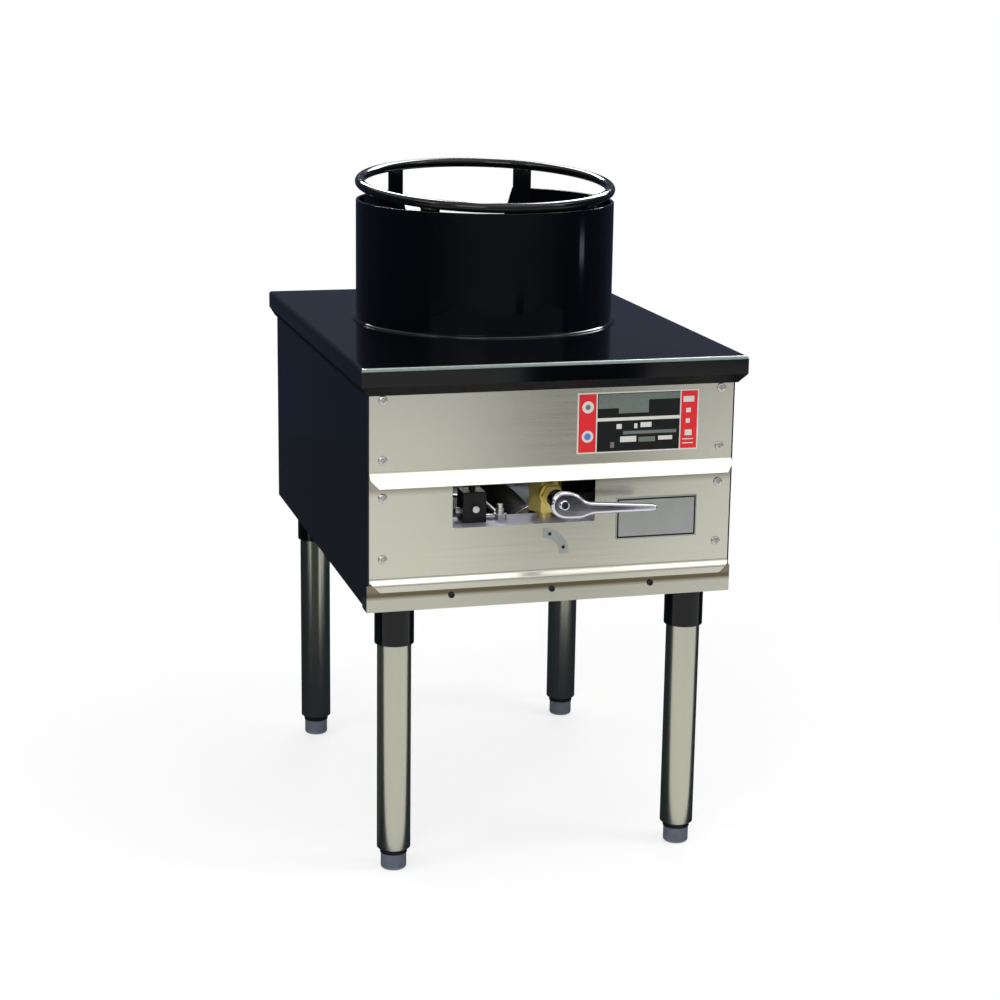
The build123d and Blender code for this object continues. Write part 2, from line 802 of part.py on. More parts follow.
with BuildPart() as valve_shelf:
    with BuildSketch(lengthwise(shelf_left, z_shelf, y_panel_back)):
        with BuildLine():
            Polyline(
                (0, 0),
                (shelf_depth, 0),
                (shelf_depth, -shelf_sheet),
                (shelf_sheet, -shelf_sheet),
                (shelf_sheet, -shelf_flange),
                (0, -shelf_flange),
                close=True,
            )
        make_face()
    extrude(amount=shelf_right - shelf_left)
    with BuildSketch(level(z_shelf)):
        with Locations((valve_x, gas_y)):
            Circle(outlet_radius + sheet_gap)
    extrude(amount=-shelf_sheet, mode=Mode.SUBTRACT)
valve_shelf.part.label = "valve_shelf"
export_step(valve_shelf.part, "parts/valve_shelf.step")

# ---------------------------------------------------------------- gas pipes

manifold_right = supply_x - elbow_arm + pipe_engagement
pipe_socket_radius = pipe_radius + joint_gap

with BuildPart() as manifold_pipe:
    with BuildSketch(lengthwise(manifold_left, z_manifold, gas_y)):
        Circle(pipe_radius)
        Circle(pipe_bore, mode=Mode.SUBTRACT)
    extrude(amount=manifold_right - manifold_left)
    with BuildSketch(level(z_manifold - pipe_radius)):
        with Locations((valve_x, gas_y)):
            Circle(valve_spigot_radius + joint_gap)
        with Locations((pilot_x, gas_y)):
            Circle(pilot_spigot_radius + joint_gap)
    extrude(amount=pipe_radius, mode=Mode.SUBTRACT)
manifold_pipe.part.label = "manifold_pipe"
export_step(manifold_pipe.part, "parts/manifold_pipe.step")

with BuildPart() as manifold_cap:
    with BuildSketch(lengthwise(manifold_left + pipe_engagement, z_manifold, gas_y)):
        Circle(fitting_radius)
    extrude(amount=-cap_length)
    chamfer(manifold_cap.faces().sort_by(Axis.X)[0].edges(), cap_chamfer)
    with BuildSketch(lengthwise(manifold_left, z_manifold, gas_y)):
        Circle(pipe_socket_radius)
    extrude(amount=pipe_engagement, mode=Mode.SUBTRACT)
manifold_cap.part.label = "manifold_cap"
export_step(manifold_cap.part, "parts/manifold_cap.step")

with BuildPart() as supply_elbow:
    with BuildSketch(lengthwise(supply_x, z_manifold, gas_y)):
        Circle(fitting_radius)
    extrude(amount=-elbow_arm)
    with BuildSketch(across(gas_y, z_manifold, supply_x)):
        Circle(fitting_radius)
    extrude(amount=-elbow_arm)
    with Locations((supply_x, gas_y, z_manifold)):
        Sphere(elbow_ball_radius)
    with BuildSketch(lengthwise(supply_x - elbow_arm, z_manifold, gas_y)):
        Circle(pipe_socket_radius)
    extrude(amount=pipe_engagement, mode=Mode.SUBTRACT)
    with BuildSketch(across(gas_y + elbow_arm, z_manifold, supply_x)):
        Circle(pipe_socket_radius)
    extrude(amount=pipe_engagement, mode=Mode.SUBTRACT)
    with BuildSketch(lengthwise(supply_x - elbow_arm, z_manifold, gas_y)):
        Circle(pipe_bore)
    extrude(amount=elbow_arm, mode=Mode.SUBTRACT)
    with BuildSketch(across(gas_y + elbow_arm, z_manifold, supply_x)):
        Circle(pipe_bore)
    extrude(amount=elbow_arm, mode=Mode.SUBTRACT)
supply_elbow.part.label = "supply_elbow"
export_step(supply_elbow.part, "parts/supply_elbow.step")

supply_start = gas_y + elbow_arm - pipe_engagement
inlet_y = y_back + inlet_reach

with BuildPart() as supply_pipe:
    with BuildSketch(across(supply_start, z_manifold, supply_x)):
        Circle(pipe_radius)
        Circle(pipe_bore, mode=Mode.SUBTRACT)
    extrude(amount=supply_start - inlet_y)
    with BuildSketch(across(inlet_y, z_manifold, supply_x)):
        Circle(pipe_radius)
        Circle(inlet_end_radius, mode=Mode.SUBTRACT)
    extrude(amount=inlet_end_length, mode=Mode.SUBTRACT)
supply_pipe.part.label = "supply_pipe"
export_step(supply_pipe.part, "parts/supply_pipe.step")

# ---------------------------------------------------------------- main valve

valve_front = gas_y - valve_half_flats - valve_boss_length
valve_bore_end = gas_y + valve_half_flats - valve_back_wall
z_valve_bottom = z_valve - valve_body_down

with BuildPart() as valve_body:
    with BuildSketch(level(z_valve_bottom)):
        with Locations((valve_x, gas_y)):
            RegularPolygon(valve_half_flats, 6, major_radius=False)
    extrude(amount=valve_body_down + valve_body_up)
    with BuildSketch(level(z_valve)):
        with Locations((valve_x, gas_y)):
            Circle(valve_spigot_radius)
    extrude(amount=z_spigot - z_valve)
    with BuildSketch(across(gas_y, z_valve, valve_x)):
        Circle(valve_boss_radius)
    extrude(amount=valve_half_flats + valve_boss_length)
    with BuildSketch(level(z_valve_bottom)):
        with Locations((valve_x, gas_y)):
            Circle(valve_port)
    extrude(amount=z_spigot - z_valve_bottom, mode=Mode.SUBTRACT)
    with BuildSketch(across(valve_bore_end, z_valve, valve_x)):
        Circle(plug_radius + running_gap)
    extrude(amount=valve_bore_end - valve_front, mode=Mode.SUBTRACT)
valve_body.part.label = "valve_body"
export_step(valve_body.part, "parts/valve_body.step")

bonnet_front = valve_front - bonnet_length

with BuildPart() as valve_bonnet:
    with BuildSketch(across(valve_front, z_valve, valve_x)):
        RegularPolygon(bonnet_half_flats, 6, major_radius=False)
        Circle(stem_radius + running_gap, mode=Mode.SUBTRACT)
    extrude(amount=bonnet_length)
valve_bonnet.part.label = "valve_bonnet"
export_step(valve_bonnet.part, "parts/valve_bonnet.step")

lever_back = y_front - lever_standoff
lever_front = lever_back - lever_thickness
plug_back = valve_bore_end - sheet_gap
plug_front = valve_front + sheet_gap
stem_front = lever_back + sheet_gap

with BuildPart() as valve_plug:
    with BuildSketch(across(plug_back, z_valve, valve_x)):
        Circle(plug_radius)
    extrude(amount=plug_back - plug_front)
    with BuildSketch(across(plug_front, z_valve, valve_x)):
        Circle(stem_radius)
    extrude(amount=plug_front - stem_front)
    with BuildSketch(lengthwise(valve_x, z_valve, gas_y)):
        Circle(valve_port)
    extrude(amount=2 * plug_radius, both=True, mode=Mode.SUBTRACT)
    with BuildSketch(across(stem_front, z_valve, valve_x)):
        Circle(lever_screw_shank + joint_gap)
    extrude(amount=lever_thickness - lever_screw_length, mode=Mode.SUBTRACT)
valve_plug.part.label = "valve_plug"
export_step(valve_plug.part, "parts/valve_plug.step")

with BuildPart() as lever_handle:
    with BuildSketch(across(lever_back, z_valve, valve_x)):
        Circle(lever_hub_radius)
        with BuildLine():
            Polyline(
                (0, lever_hub_radius),
                (lever_shoulder_reach, lever_shoulder),
                (lever_bar_start, lever_bar_top),
                (lever_length, -lever_tip_top),
                (lever_length, -lever_tip_top - lever_tip_height),
                (lever_bar_under, -lever_bar_drop),
                (lever_knuckle_reach, -lever_knuckle_drop),
                (lever_heel_reach, -lever_knuckle_drop),
                (-lever_heel, -lever_heel_drop),
                close=True,
            )
        make_face()
    extrude(amount=lever_thickness)
    tip_edges = lever_handle.edges().filter_by(Axis.Y).sort_by(Axis.X)[-2:]
    fillet(tip_edges, lever_tip_radius)
    fillet(lever_handle.faces().sort_by(Axis.Y)[0].edges(), lever_edge)
    with BuildSketch(across(lever_back, z_valve, valve_x)):
        Circle(lever_boss_radius)
    extrude(amount=-lever_boss_length)
    with BuildSketch(across(lever_back, z_valve, valve_x)):
        Circle(stem_radius + joint_gap)
    extrude(amount=-lever_boss_length, mode=Mode.SUBTRACT)
    with BuildSketch(across(lever_back, z_valve, valve_x)):
        Circle(lever_screw_shank + joint_gap)
    extrude(amount=lever_thickness, mode=Mode.SUBTRACT)
lever_handle.part.label = "lever_handle"
export_step(lever_handle.part, "parts/lever_handle.step")

with BuildPart() as lever_screw:
    with BuildSketch(across(lever_front, z_valve, valve_x)):
        Circle(lever_screw_radius)
    extrude(amount=lever_screw_head)
    fillet(lever_screw.faces().sort_by(Axis.Y)[0].edges(), screw_head_round)
    with BuildSketch(across(lever_front, z_valve, valve_x)):
        Circle(lever_screw_shank)
    extrude(amount=joint_gap - lever_screw_length)
lever_screw.part.label = "lever_screw"
export_step(lever_screw.part, "parts/lever_screw.step")

# ---------------------------------------------------------------- gas outlet and orifice hood

with BuildPart() as outlet_elbow:
    with BuildLine() as outlet_path:
        FilletPolyline(
            (valve_x, gas_y, z_valve_bottom),
            (valve_x, gas_y, z_mix),
            (valve_x, outlet_end, z_mix),
            radius=outlet_bend,
        )
    with BuildSketch(level(z_valve_bottom)):
        with Locations((valve_x, gas_y)):
            Circle(outlet_radius)
            Circle(outlet_bore, mode=Mode.SUBTRACT)
    sweep()
outlet_elbow.part.label = "outlet_elbow"
export_step(outlet_elbow.part, "parts/outlet_elbow.step")

with BuildPart() as orifice_hood:
    with BuildSketch(across(outlet_end, z_mix, valve_x)):
        Circle(hood_radius)
    extrude(amount=-hood_length)
    with BuildSketch(across(outlet_end, z_mix, valve_x)):
        Circle(outlet_bore)
    extrude(amount=hood_tip - hood_length, mode=Mode.SUBTRACT)
    with BuildSketch(across(outlet_end, z_mix, valve_x)):
        Circle(orifice_radius)
    extrude(amount=-hood_length, mode=Mode.SUBTRACT)
orifice_hood.part.label = "orifice_hood"
export_step(orifice_hood.part, "parts/orifice_hood.step")

# ---------------------------------------------------------------- mixing tube and air shutter

tube_length = chamber_y - mouth_y
riser_top = z_burner + riser_seat


def tube_profile(inset):
    """Half section of the mixing tube on its axis, inset from its outer surface."""
    with BuildSketch(lengthwise(valve_x, z_mix, mouth_y)) as profile:
        with BuildLine():
            Polyline(
                (0, 0),
                (0, bell_radius - inset),
                (bell_distance, bell_radius - inset),
                (throat_distance, throat_radius - inset),
                (tube_distance, tube_radius - inset),
                (tube_length, tube_radius - inset),
                (tube_length, 0),
                close=True,
            )
        make_face()
    return profile.sketch


tube_axis = Axis((valve_x, mouth_y, z_mix), (0, 1, 0))

with BuildPart() as mixing_tube:
    revolve(tube_profile(0), axis=tube_axis)
    with BuildSketch(level(z_mix - riser_radius)):
        with Locations((valve_x, chamber_y)):
            Circle(riser_radius)
    extrude(amount=riser_top - z_mix + riser_radius)
    revolve(tube_profile(cast_wall), axis=tube_axis, mode=Mode.SUBTRACT)
    with BuildSketch(level(z_mix - riser_radius + cast_wall)):
        with Locations((valve_x, chamber_y)):
            Circle(riser_radius - cast_wall)
    extrude(amount=riser_top - z_mix + riser_radius - cast_wall, mode=Mode.SUBTRACT)
    with BuildSketch(across(mouth_y, z_mix, valve_x)):
        Circle(mouth_radius)
        Circle(hood_radius + sheet_gap, mode=Mode.SUBTRACT)
        with PolarLocations(air_port_circle_radius, air_ports):
            Circle(air_port_radius, mode=Mode.SUBTRACT)
    extrude(amount=-mouth_plate)
mixing_tube.part.label = "mixing_tube"
export_step(mixing_tube.part, "parts/mixing_tube.step")

with BuildPart() as air_shutter:
    with BuildSketch(across(mouth_y - sheet_gap, z_mix, valve_x)):
        Circle(shutter_radius)
        Circle(hood_radius + running_gap, mode=Mode.SUBTRACT)
        with PolarLocations(air_port_circle_radius, air_ports):
            Circle(air_port_radius, mode=Mode.SUBTRACT)
    extrude(amount=shutter_sheet)
air_shutter.part.label = "air_shutter"
export_step(air_shutter.part, "parts/air_shutter.step")

# ---------------------------------------------------------------- burner, jets and support

burner_cavity = burner_radius - burner_wall

with BuildPart() as burner_head:
    with BuildSketch(level(z_burner)):
        with Locations((0, chamber_y)):
            Circle(burner_radius)
    extrude(amount=burner_height)
    chamfer(burner_head.faces().sort_by(Axis.Z)[-1].edges(), burner_edge)
    with BuildSketch(level(z_burner + burner_wall)):
        with Locations((0, chamber_y)):
            Circle(burner_cavity)
    extrude(amount=burner_height - 2 * burner_wall, mode=Mode.SUBTRACT)
    with BuildSketch(level(z_burner)):
        with Locations((0, chamber_y)):
            Circle(riser_radius + sheet_gap)
    extrude(amount=burner_wall, mode=Mode.SUBTRACT)
    with BuildSketch(level(z_burner)):
        with Locations((0, chamber_y)):
            with GridLocations(2 * burner_bolt_x, 1, 2, 1):
                Circle(burner_bolt_radius + joint_gap)
    extrude(amount=burner_bolt_lap + joint_gap, mode=Mode.SUBTRACT)
    with BuildSketch(level(z_burner_top)):
        with Locations((0, chamber_y)):
            with PolarLocations(inner_jet_circle_radius, inner_jets):
                Circle(jet_bore)
            with PolarLocations(outer_jet_circle_radius, outer_jets):
                Circle(jet_bore)
    extrude(amount=-burner_wall, mode=Mode.SUBTRACT)
burner_head.part.label = "burner_head"
export_step(burner_head.part, "parts/burner_head.step")

with BuildPart() as burner_jets:
    with BuildSketch(level(z_burner_top)):
        with Locations((0, chamber_y)):
            with PolarLocations(inner_jet_circle_radius, inner_jets):
                Circle(jet_radius)
            with PolarLocations(outer_jet_circle_radius, outer_jets):
                Circle(jet_radius)
    extrude(amount=jet_height)
    chamfer(burner_jets.faces().group_by(Axis.Z)[-1].edges(), jet_edge)
    with BuildSketch(level(z_burner_top)):
        with Locations((0, chamber_y)):
            with PolarLocations(inner_jet_circle_radius, inner_jets):
                Circle(jet_bore)
            with PolarLocations(outer_jet_circle_radius, outer_jets):
                Circle(jet_bore)
    extrude(amount=jet_height, mode=Mode.SUBTRACT)
burner_jets.part.label = "burner_jets"
export_step(burner_jets.part, "parts/burner_jets.step")

pilot_burner_x = -burner_radius - pilot_burner_side

with BuildPart() as burner_support:
    with BuildSketch(across(chamber_y, z_burner)):
        with BuildLine():
            Polyline(
                (-inner_half, 0),
                (inner_half, 0),
                (inner_half, -support_flange),
                (inner_half - support_sheet, -support_flange),
                (inner_half - support_sheet, -support_sheet),
                (support_sheet - inner_half, -support_sheet),
                (support_sheet - inner_half, -support_flange),
                (-inner_half, -support_flange),
                close=True,
            )
        make_face()
    extrude(amount=support_width / 2, both=True)
    with BuildSketch(level(z_burner)):
        with Locations((0, chamber_y)):
            Circle(riser_radius + sheet_gap)
            with GridLocations(2 * burner_bolt_x, 1, 2, 1):
                Circle(burner_bolt_radius + screw_clearance)
        with Locations((pilot_burner_x, chamber_y)):
            Circle(pilot_burner_radius + sheet_gap)
    extrude(amount=-support_sheet, mode=Mode.SUBTRACT)
burner_support.part.label = "burner_support"
export_step(burner_support.part, "parts/burner_support.step")

with BuildPart() as burner_bolts:
    with BuildSketch(level(z_support)):
        with Locations((0, chamber_y)):
            with GridLocations(2 * burner_bolt_x, 1, 2, 1):
                RegularPolygon(burner_bolt_half_flats, 6, major_radius=False)
    extrude(amount=-burner_bolt_head)
    with BuildSketch(level(z_support)):
        with Locations((0, chamber_y)):
            with GridLocations(2 * burner_bolt_x, 1, 2, 1):
                Circle(burner_bolt_radius)
    extrude(amount=support_sheet + burner_bolt_lap)
burner_bolts.part.label = "burner_bolts"
export_step(burner_bolts.part, "parts/burner_bolts.step")

# ---------------------------------------------------------------- pilot valve, button and adjuster

pilot_front = y_front + pilot_setback
pilot_left = pilot_x - pilot_width / 2
pilot_right = pilot_x + pilot_width / 2
z_button = z_shelf + button_rise
z_pilot_tube = z_shelf + pilot_tube_rise

with BuildPart() as pilot_valve_body:
    with BuildSketch(level(z_shelf)):
        with Locations((pilot_x, pilot_front + pilot_depth / 2)):
            Rectangle(pilot_width, pilot_depth)
    extrude(amount=pilot_height)
    chamfer(pilot_valve_body.faces().sort_by(Axis.Z)[-1].edges(), pilot_block_edge)
    with BuildSketch(level(z_shelf + pilot_height)):
        with Locations((pilot_x, gas_y)):
            Circle(pilot_spigot_radius)
    extrude(amount=z_spigot - z_shelf - pilot_height)
    with BuildSketch(across(pilot_front, z_button, pilot_x)):
        Circle(button_radius + running_gap)
    extrude(amount=-button_bore_depth, mode=Mode.SUBTRACT)
pilot_valve_body.part.label = "pilot_valve_body"
export_step(pilot_valve_body.part, "parts/pilot_valve_body.step")

with BuildPart() as pilot_side_nut:
    with BuildSketch(lengthwise(pilot_left, z_shelf + pilot_nut_rise, pilot_front + pilot_depth / 2)):
        RegularPolygon(pilot_nut_half_flats, 6, major_radius=False)
    extrude(amount=-pilot_nut_length)
    chamfer(pilot_side_nut.faces().sort_by(Axis.X)[0].edges(), pilot_nut_edge)
pilot_side_nut.part.label = "pilot_side_nut"
export_step(pilot_side_nut.part, "parts/pilot_side_nut.step")

with BuildPart() as pilot_button:
    with BuildSketch(across(pilot_front - button_reach, z_button, pilot_x)):
        Circle(button_radius)
    extrude(amount=-button_length)
    fillet(pilot_button.faces().sort_by(Axis.Y)[0].edges(), button_edge)
pilot_button.part.label = "pilot_button"
export_step(pilot_button.part, "parts/pilot_button.step")

adjuster_y = pilot_front + pilot_depth / 2
z_adjuster_base = z_shelf + adjuster_base
z_adjuster_neck = z_shelf + adjuster_neck_top
z_adjuster_head = z_adjuster_neck + joint_gap
z_adjuster_end = z_adjuster_head - adjuster_screw_length

with BuildPart() as pilot_adjuster_body:
    with BuildSketch(level(z_shelf)):
        with Locations((adjuster_x, adjuster_y)):
            RegularPolygon(adjuster_half_flats, 6, major_radius=False)
    extrude(amount=adjuster_base)
    with BuildSketch(level(z_adjuster_base)):
        with Locations((adjuster_x, adjuster_y)):
            Circle(adjuster_neck_radius)
    extrude(amount=adjuster_neck_top - adjuster_base)
    with BuildSketch(lengthwise(pilot_right, z_pilot_tube, adjuster_y)):
        Circle(adjuster_arm_radius)
    extrude(amount=adjuster_x - pilot_right)
    with BuildSketch(level(z_adjuster_end - joint_gap)):
        with Locations((adjuster_x, adjuster_y)):
            Circle(adjuster_screw_radius + running_gap)
    extrude(amount=z_adjuster_neck - z_adjuster_end + joint_gap, mode=Mode.SUBTRACT)
pilot_adjuster_body.part.label = "pilot_adjuster_body"
export_step(pilot_adjuster_body.part, "parts/pilot_adjuster_body.step")

with BuildPart() as pilot_adjuster_screw:
    with BuildSketch(level(z_adjuster_end)):
        with Locations((adjuster_x, adjuster_y)):
            Circle(adjuster_screw_radius)
    extrude(amount=adjuster_screw_length)
    with BuildSketch(level(z_adjuster_head)):
        with Locations((adjuster_x, adjuster_y)):
            Circle(adjuster_head_radius)
    extrude(amount=adjuster_head_height)
    with BuildSketch(level(z_adjuster_head + adjuster_head_height)):
        with Locations((adjuster_x, adjuster_y)):
            Rectangle(3 * adjuster_head_radius, adjuster_slot)
    extrude(amount=-adjuster_slot, mode=Mode.SUBTRACT)
pilot_adjuster_screw.part.label = "pilot_adjuster_screw"
export_step(pilot_adjuster_screw.part, "parts/pilot_adjuster_screw.step")

# ---------------------------------------------------------------- pilot tube and pilot burner

tube_start = adjuster_y + adjuster_half_flats
tube_turn = tube_start + pilot_tube_straight
tube_side = tube_turn + adjuster_x - pilot_burner_x
z_pilot_burner = z_support - burner_wall

with BuildPart() as pilot_tube:
    with BuildLine() as pilot_path:
        FilletPolyline(
            (adjuster_x, tube_start, z_pilot_tube),
            (adjuster_x, tube_turn, z_pilot_tube),
            (pilot_burner_x, tube_side, z_pilot_tube),
            (pilot_burner_x, chamber_y, z_pilot_tube),
            (pilot_burner_x, chamber_y, z_pilot_burner),
            radius=pilot_tube_bend,
        )
    with BuildSketch(across(tube_start, z_pilot_tube, adjuster_x)):
        Circle(pilot_tube_radius)
    sweep()
pilot_tube.part.label = "pilot_tube"
export_step(pilot_tube.part, "parts/pilot_tube.step")

with BuildPart() as pilot_burner:
    with BuildSketch(level(z_pilot_burner)):
        with Locations((pilot_burner_x, chamber_y)):
            Circle(pilot_burner_radius)
    extrude(amount=pilot_burner_height)
    chamfer(pilot_burner.faces().sort_by(Axis.Z)[-1].edges(), pilot_burner_edge)
    with BuildSketch(level(z_burner)):
        with Locations((pilot_burner_x, chamber_y)):
            Circle(pilot_flange_radius)
    extrude(amount=pilot_flange_sheet)
    with BuildSketch(level(z_pilot_burner)):
        with Locations((pilot_burner_x, chamber_y)):
            Circle(pilot_burner_bore)
    extrude(amount=pilot_burner_height, mode=Mode.SUBTRACT)
pilot_burner.part.label = "pilot_burner"
export_step(pilot_burner.part, "parts/pilot_burner.step")

# ---------------------------------------------------------------- leg sockets and their fasteners

z_socket = z_body - socket_drop
z_set_screw = z_body - set_screw_drop

with BuildPart() as leg_sockets:
    with BuildSketch(level(z_pan_top)):
        with Locations(*leg_spots):
            RectangleRounded(socket_flange, socket_flange, socket_corner)
            with GridLocations(socket_bolt_pitch, socket_bolt_pitch, 2, 2):
                Circle(socket_bolt_radius + screw_clearance, mode=Mode.SUBTRACT)
    extrude(amount=socket_flange_sheet)
    with BuildSketch(level(z_socket)):
        with Locations(*leg_spots):
            Circle(socket_radius)
            Circle(socket_bore, mode=Mode.SUBTRACT)
    extrude(amount=z_pan_top - z_socket)
    for spot_x, spot_y in leg_spots:
        with BuildSketch(across(spot_y, z_set_screw, spot_x)):
            Circle(set_screw_radius + joint_gap)
        extrude(amount=-2 * socket_radius, mode=Mode.SUBTRACT)
leg_sockets.part.label = "leg_sockets"
export_step(leg_sockets.part, "parts/leg_sockets.step")

with BuildPart() as socket_bolts:
    with BuildSketch(level(z_flange_top)):
        with Locations(*leg_spots):
            with GridLocations(socket_bolt_pitch, socket_bolt_pitch, 2, 2):
                RegularPolygon(socket_bolt_half_flats, 6, major_radius=False)
    extrude(amount=socket_bolt_head)
    with BuildSketch(level(z_flange_top)):
        with Locations(*leg_spots):
            with GridLocations(socket_bolt_pitch, socket_bolt_pitch, 2, 2):
                Circle(socket_bolt_radius)
    extrude(amount=-socket_flange_sheet - frame_sheet - socket_bolt_end)
socket_bolts.part.label = "socket_bolts"
export_step(socket_bolts.part, "parts/socket_bolts.step")

with BuildPart() as socket_set_screws:
    for spot_x, spot_y in leg_spots:
        with BuildSketch(across(spot_y + leg_radius + joint_gap, z_set_screw, spot_x)):
            Circle(set_screw_radius)
        extrude(amount=-sheet_gap - socket_wall - set_screw_reach)
socket_set_screws.part.label = "socket_set_screws"
export_step(socket_set_screws.part, "parts/socket_set_screws.step")

# ---------------------------------------------------------------- legs, inserts and feet

for leg_name, (spot_x, spot_y) in leg_places.items():
    with BuildPart() as leg_tube:
        with BuildSketch(level(foot_reveal)):
            with Locations((spot_x, spot_y)):
                Circle(leg_radius)
                Circle(leg_radius - leg_wall, mode=Mode.SUBTRACT)
        extrude(amount=z_pan_top - foot_reveal)
    leg_tube.part.label = "leg_" + leg_name
    export_step(leg_tube.part, "parts/leg_" + leg_name + ".step")

    with BuildPart() as foot:
        with BuildSketch(level(0)):
            with Locations((spot_x, spot_y)):
                Circle(foot_radius)
        extrude(amount=foot_reveal - foot_shoulder)
        fillet(foot.faces().sort_by(Axis.Z)[0].edges(), foot_round)
        with BuildSketch(level(foot_reveal - foot_shoulder)):
            with Locations((spot_x, spot_y)):
                Circle(foot_shoulder_radius)
        extrude(amount=foot_shoulder - sheet_gap)
        with BuildSketch(level(foot_reveal - foot_shoulder)):
            with Locations((spot_x, spot_y)):
                Circle(foot_stem_radius)
        extrude(amount=foot_shoulder + foot_stem_length)
    foot.part.label = "foot_" + leg_name
    export_step(foot.part, "parts/foot_" + leg_name + ".step")

with BuildPart() as leg_inserts:
    with BuildSketch(level(foot_reveal)):
        with Locations(*leg_spots):
            Circle(leg_radius - leg_wall - joint_gap)
            Circle(foot_stem_radius + running_gap, mode=Mode.SUBTRACT)
    extrude(amount=insert_length)
leg_inserts.part.label = "leg_inserts"
export_step(leg_inserts.part, "parts/leg_inserts.step")
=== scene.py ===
"""Wok range with one chamber: surfaces, small forms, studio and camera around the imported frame."""

from math import atan2, cos, pi, radians, sin

import bmesh
import bpy
from bpy.props import FloatProperty, FloatVectorProperty, IntProperty, PointerProperty
from mathutils import Matrix, Vector


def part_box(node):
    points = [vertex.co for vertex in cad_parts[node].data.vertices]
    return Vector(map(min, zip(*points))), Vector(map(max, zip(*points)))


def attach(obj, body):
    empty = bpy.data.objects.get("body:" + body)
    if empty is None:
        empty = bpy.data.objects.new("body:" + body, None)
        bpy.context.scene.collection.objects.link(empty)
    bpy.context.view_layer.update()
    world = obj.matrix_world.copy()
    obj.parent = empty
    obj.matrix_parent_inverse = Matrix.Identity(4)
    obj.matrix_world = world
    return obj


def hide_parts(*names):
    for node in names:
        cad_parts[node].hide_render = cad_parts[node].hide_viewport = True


bl_info = {
    "name": "Wok range",
    "version": (1, 0, 0),
    "blender": (4, 5, 0),
    "location": "3D View > Sidebar > Wok range",
    "description": "Builds the looks of a free-standing wok range piece by piece",
    "category": "Object",
}

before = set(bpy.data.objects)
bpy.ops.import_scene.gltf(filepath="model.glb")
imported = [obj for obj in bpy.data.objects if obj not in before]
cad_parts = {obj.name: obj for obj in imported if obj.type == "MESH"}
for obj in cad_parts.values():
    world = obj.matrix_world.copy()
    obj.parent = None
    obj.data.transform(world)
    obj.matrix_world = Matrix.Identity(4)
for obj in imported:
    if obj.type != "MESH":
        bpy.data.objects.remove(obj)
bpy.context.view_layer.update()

MM = 0.001
UP = Vector((0, 0, 1))
# points of a CAD mesh that are closer than this are one
SAME_POINT = 0.005 * MM
# faces that meet at less than FLAT are one face; edges sharper than CREASE keep a crease in the shading
FLAT = radians(0.4)
CREASE = radians(32)


# ---------------------------------------------------------------- colours and properties


def linear(code):
    """Linear red, green and blue of an sRGB hex colour."""
    parts = [int(code[i : i + 2], 16) / 255 for i in (1, 3, 5)]
    return [c / 12.92 if c <= 0.04045 else ((c + 0.055) / 1.055) ** 2.4 for c in parts]


def length(name, description, millimetres):
    """A length property whose default is given in millimetres."""
    return FloatProperty(
        name=name, description=description, default=millimetres * MM, min=0, unit="LENGTH", subtype="DISTANCE"
    )


def colour(name, description, code):
    """A colour property whose default is given as an sRGB hex colour."""
    return FloatVectorProperty(
        name=name, description=description, default=linear(code), size=3, min=0, max=1, subtype="COLOR"
    )


class WokRangeSizes(bpy.types.PropertyGroup):
    sheet_edge: length("Sheet edge", "Rounding of cut sheet edges", 0.3)
    bend_radius: length("Bend radius", "Rounding where a front panel is bent", 1.8)
    enamel_edge: length("Enamel edge", "Rounding that enamel gives to an edge", 0.8)
    plate_bend: length("Plate bend", "Rounding of the top plate's front bend", 4.0)
    machined_edge: length("Machined edge", "Broken edges of turned and milled pieces", 0.4)
    cast_edge: length("Cast edge", "Rounding of cast edges", 1.5)
    ring_rod: length("Ring rod", "Radius of the wok ring's rod", 6.35)
    ring_radius: length("Ring radius", "Radius of the wok ring at the middle of its rod", 164)
    ring_tilt: FloatProperty(
        name="Ring tilt", description="How far the ring is tipped towards the cook", default=radians(4.8),
        unit="ROTATION", subtype="ANGLE",
    )
    weld_bead: length("Weld bead", "Radius of the beads that join the ring to its tabs", 1.9)
    weld_length: length("Weld length", "Length of the beads that join the ring to its tabs", 24)
    screw_head: length("Screw head", "Radius of the panel screws' heads", 5.6)
    channel_screw: length("Channel screw", "Radius of the channel screws' heads", 3.9)
    screw_rise: length("Screw rise", "Height of the panel screws' heads", 3)
    lever_hub: length("Lever hub", "Radius of the lever's hub", 16)
    lever_boss: length("Lever boss", "Radius of the boss behind the lever", 12)
    lever_thickness: length("Lever thickness", "Thickness of the lever's bar", 10)
    lever_round: length("Lever rounding", "Rounding of the forged lever", 4.3)
    foot_shoulder: length("Foot shoulder", "Height above the floor where a foot's dark band starts", 20.8)
    thread_radius: length("Thread radius", "Outer radius of the pipe thread at the gas inlet", 13.3)
    thread_depth: length("Thread depth", "Depth of the pipe thread at the gas inlet", 0.6)
    thread_pitch: length("Thread pitch", "Pitch of the pipe thread at the gas inlet", 1.8)
    cap_screw: length("Cap screw", "Radius of the screw that holds the lever", 6)
    thread_turns: IntProperty(name="Thread turns", description="Turns of the thread", default=11, min=1)
    ring_steps: IntProperty(name="Ring steps", description="Segments of the wok ring", default=144, min=24)


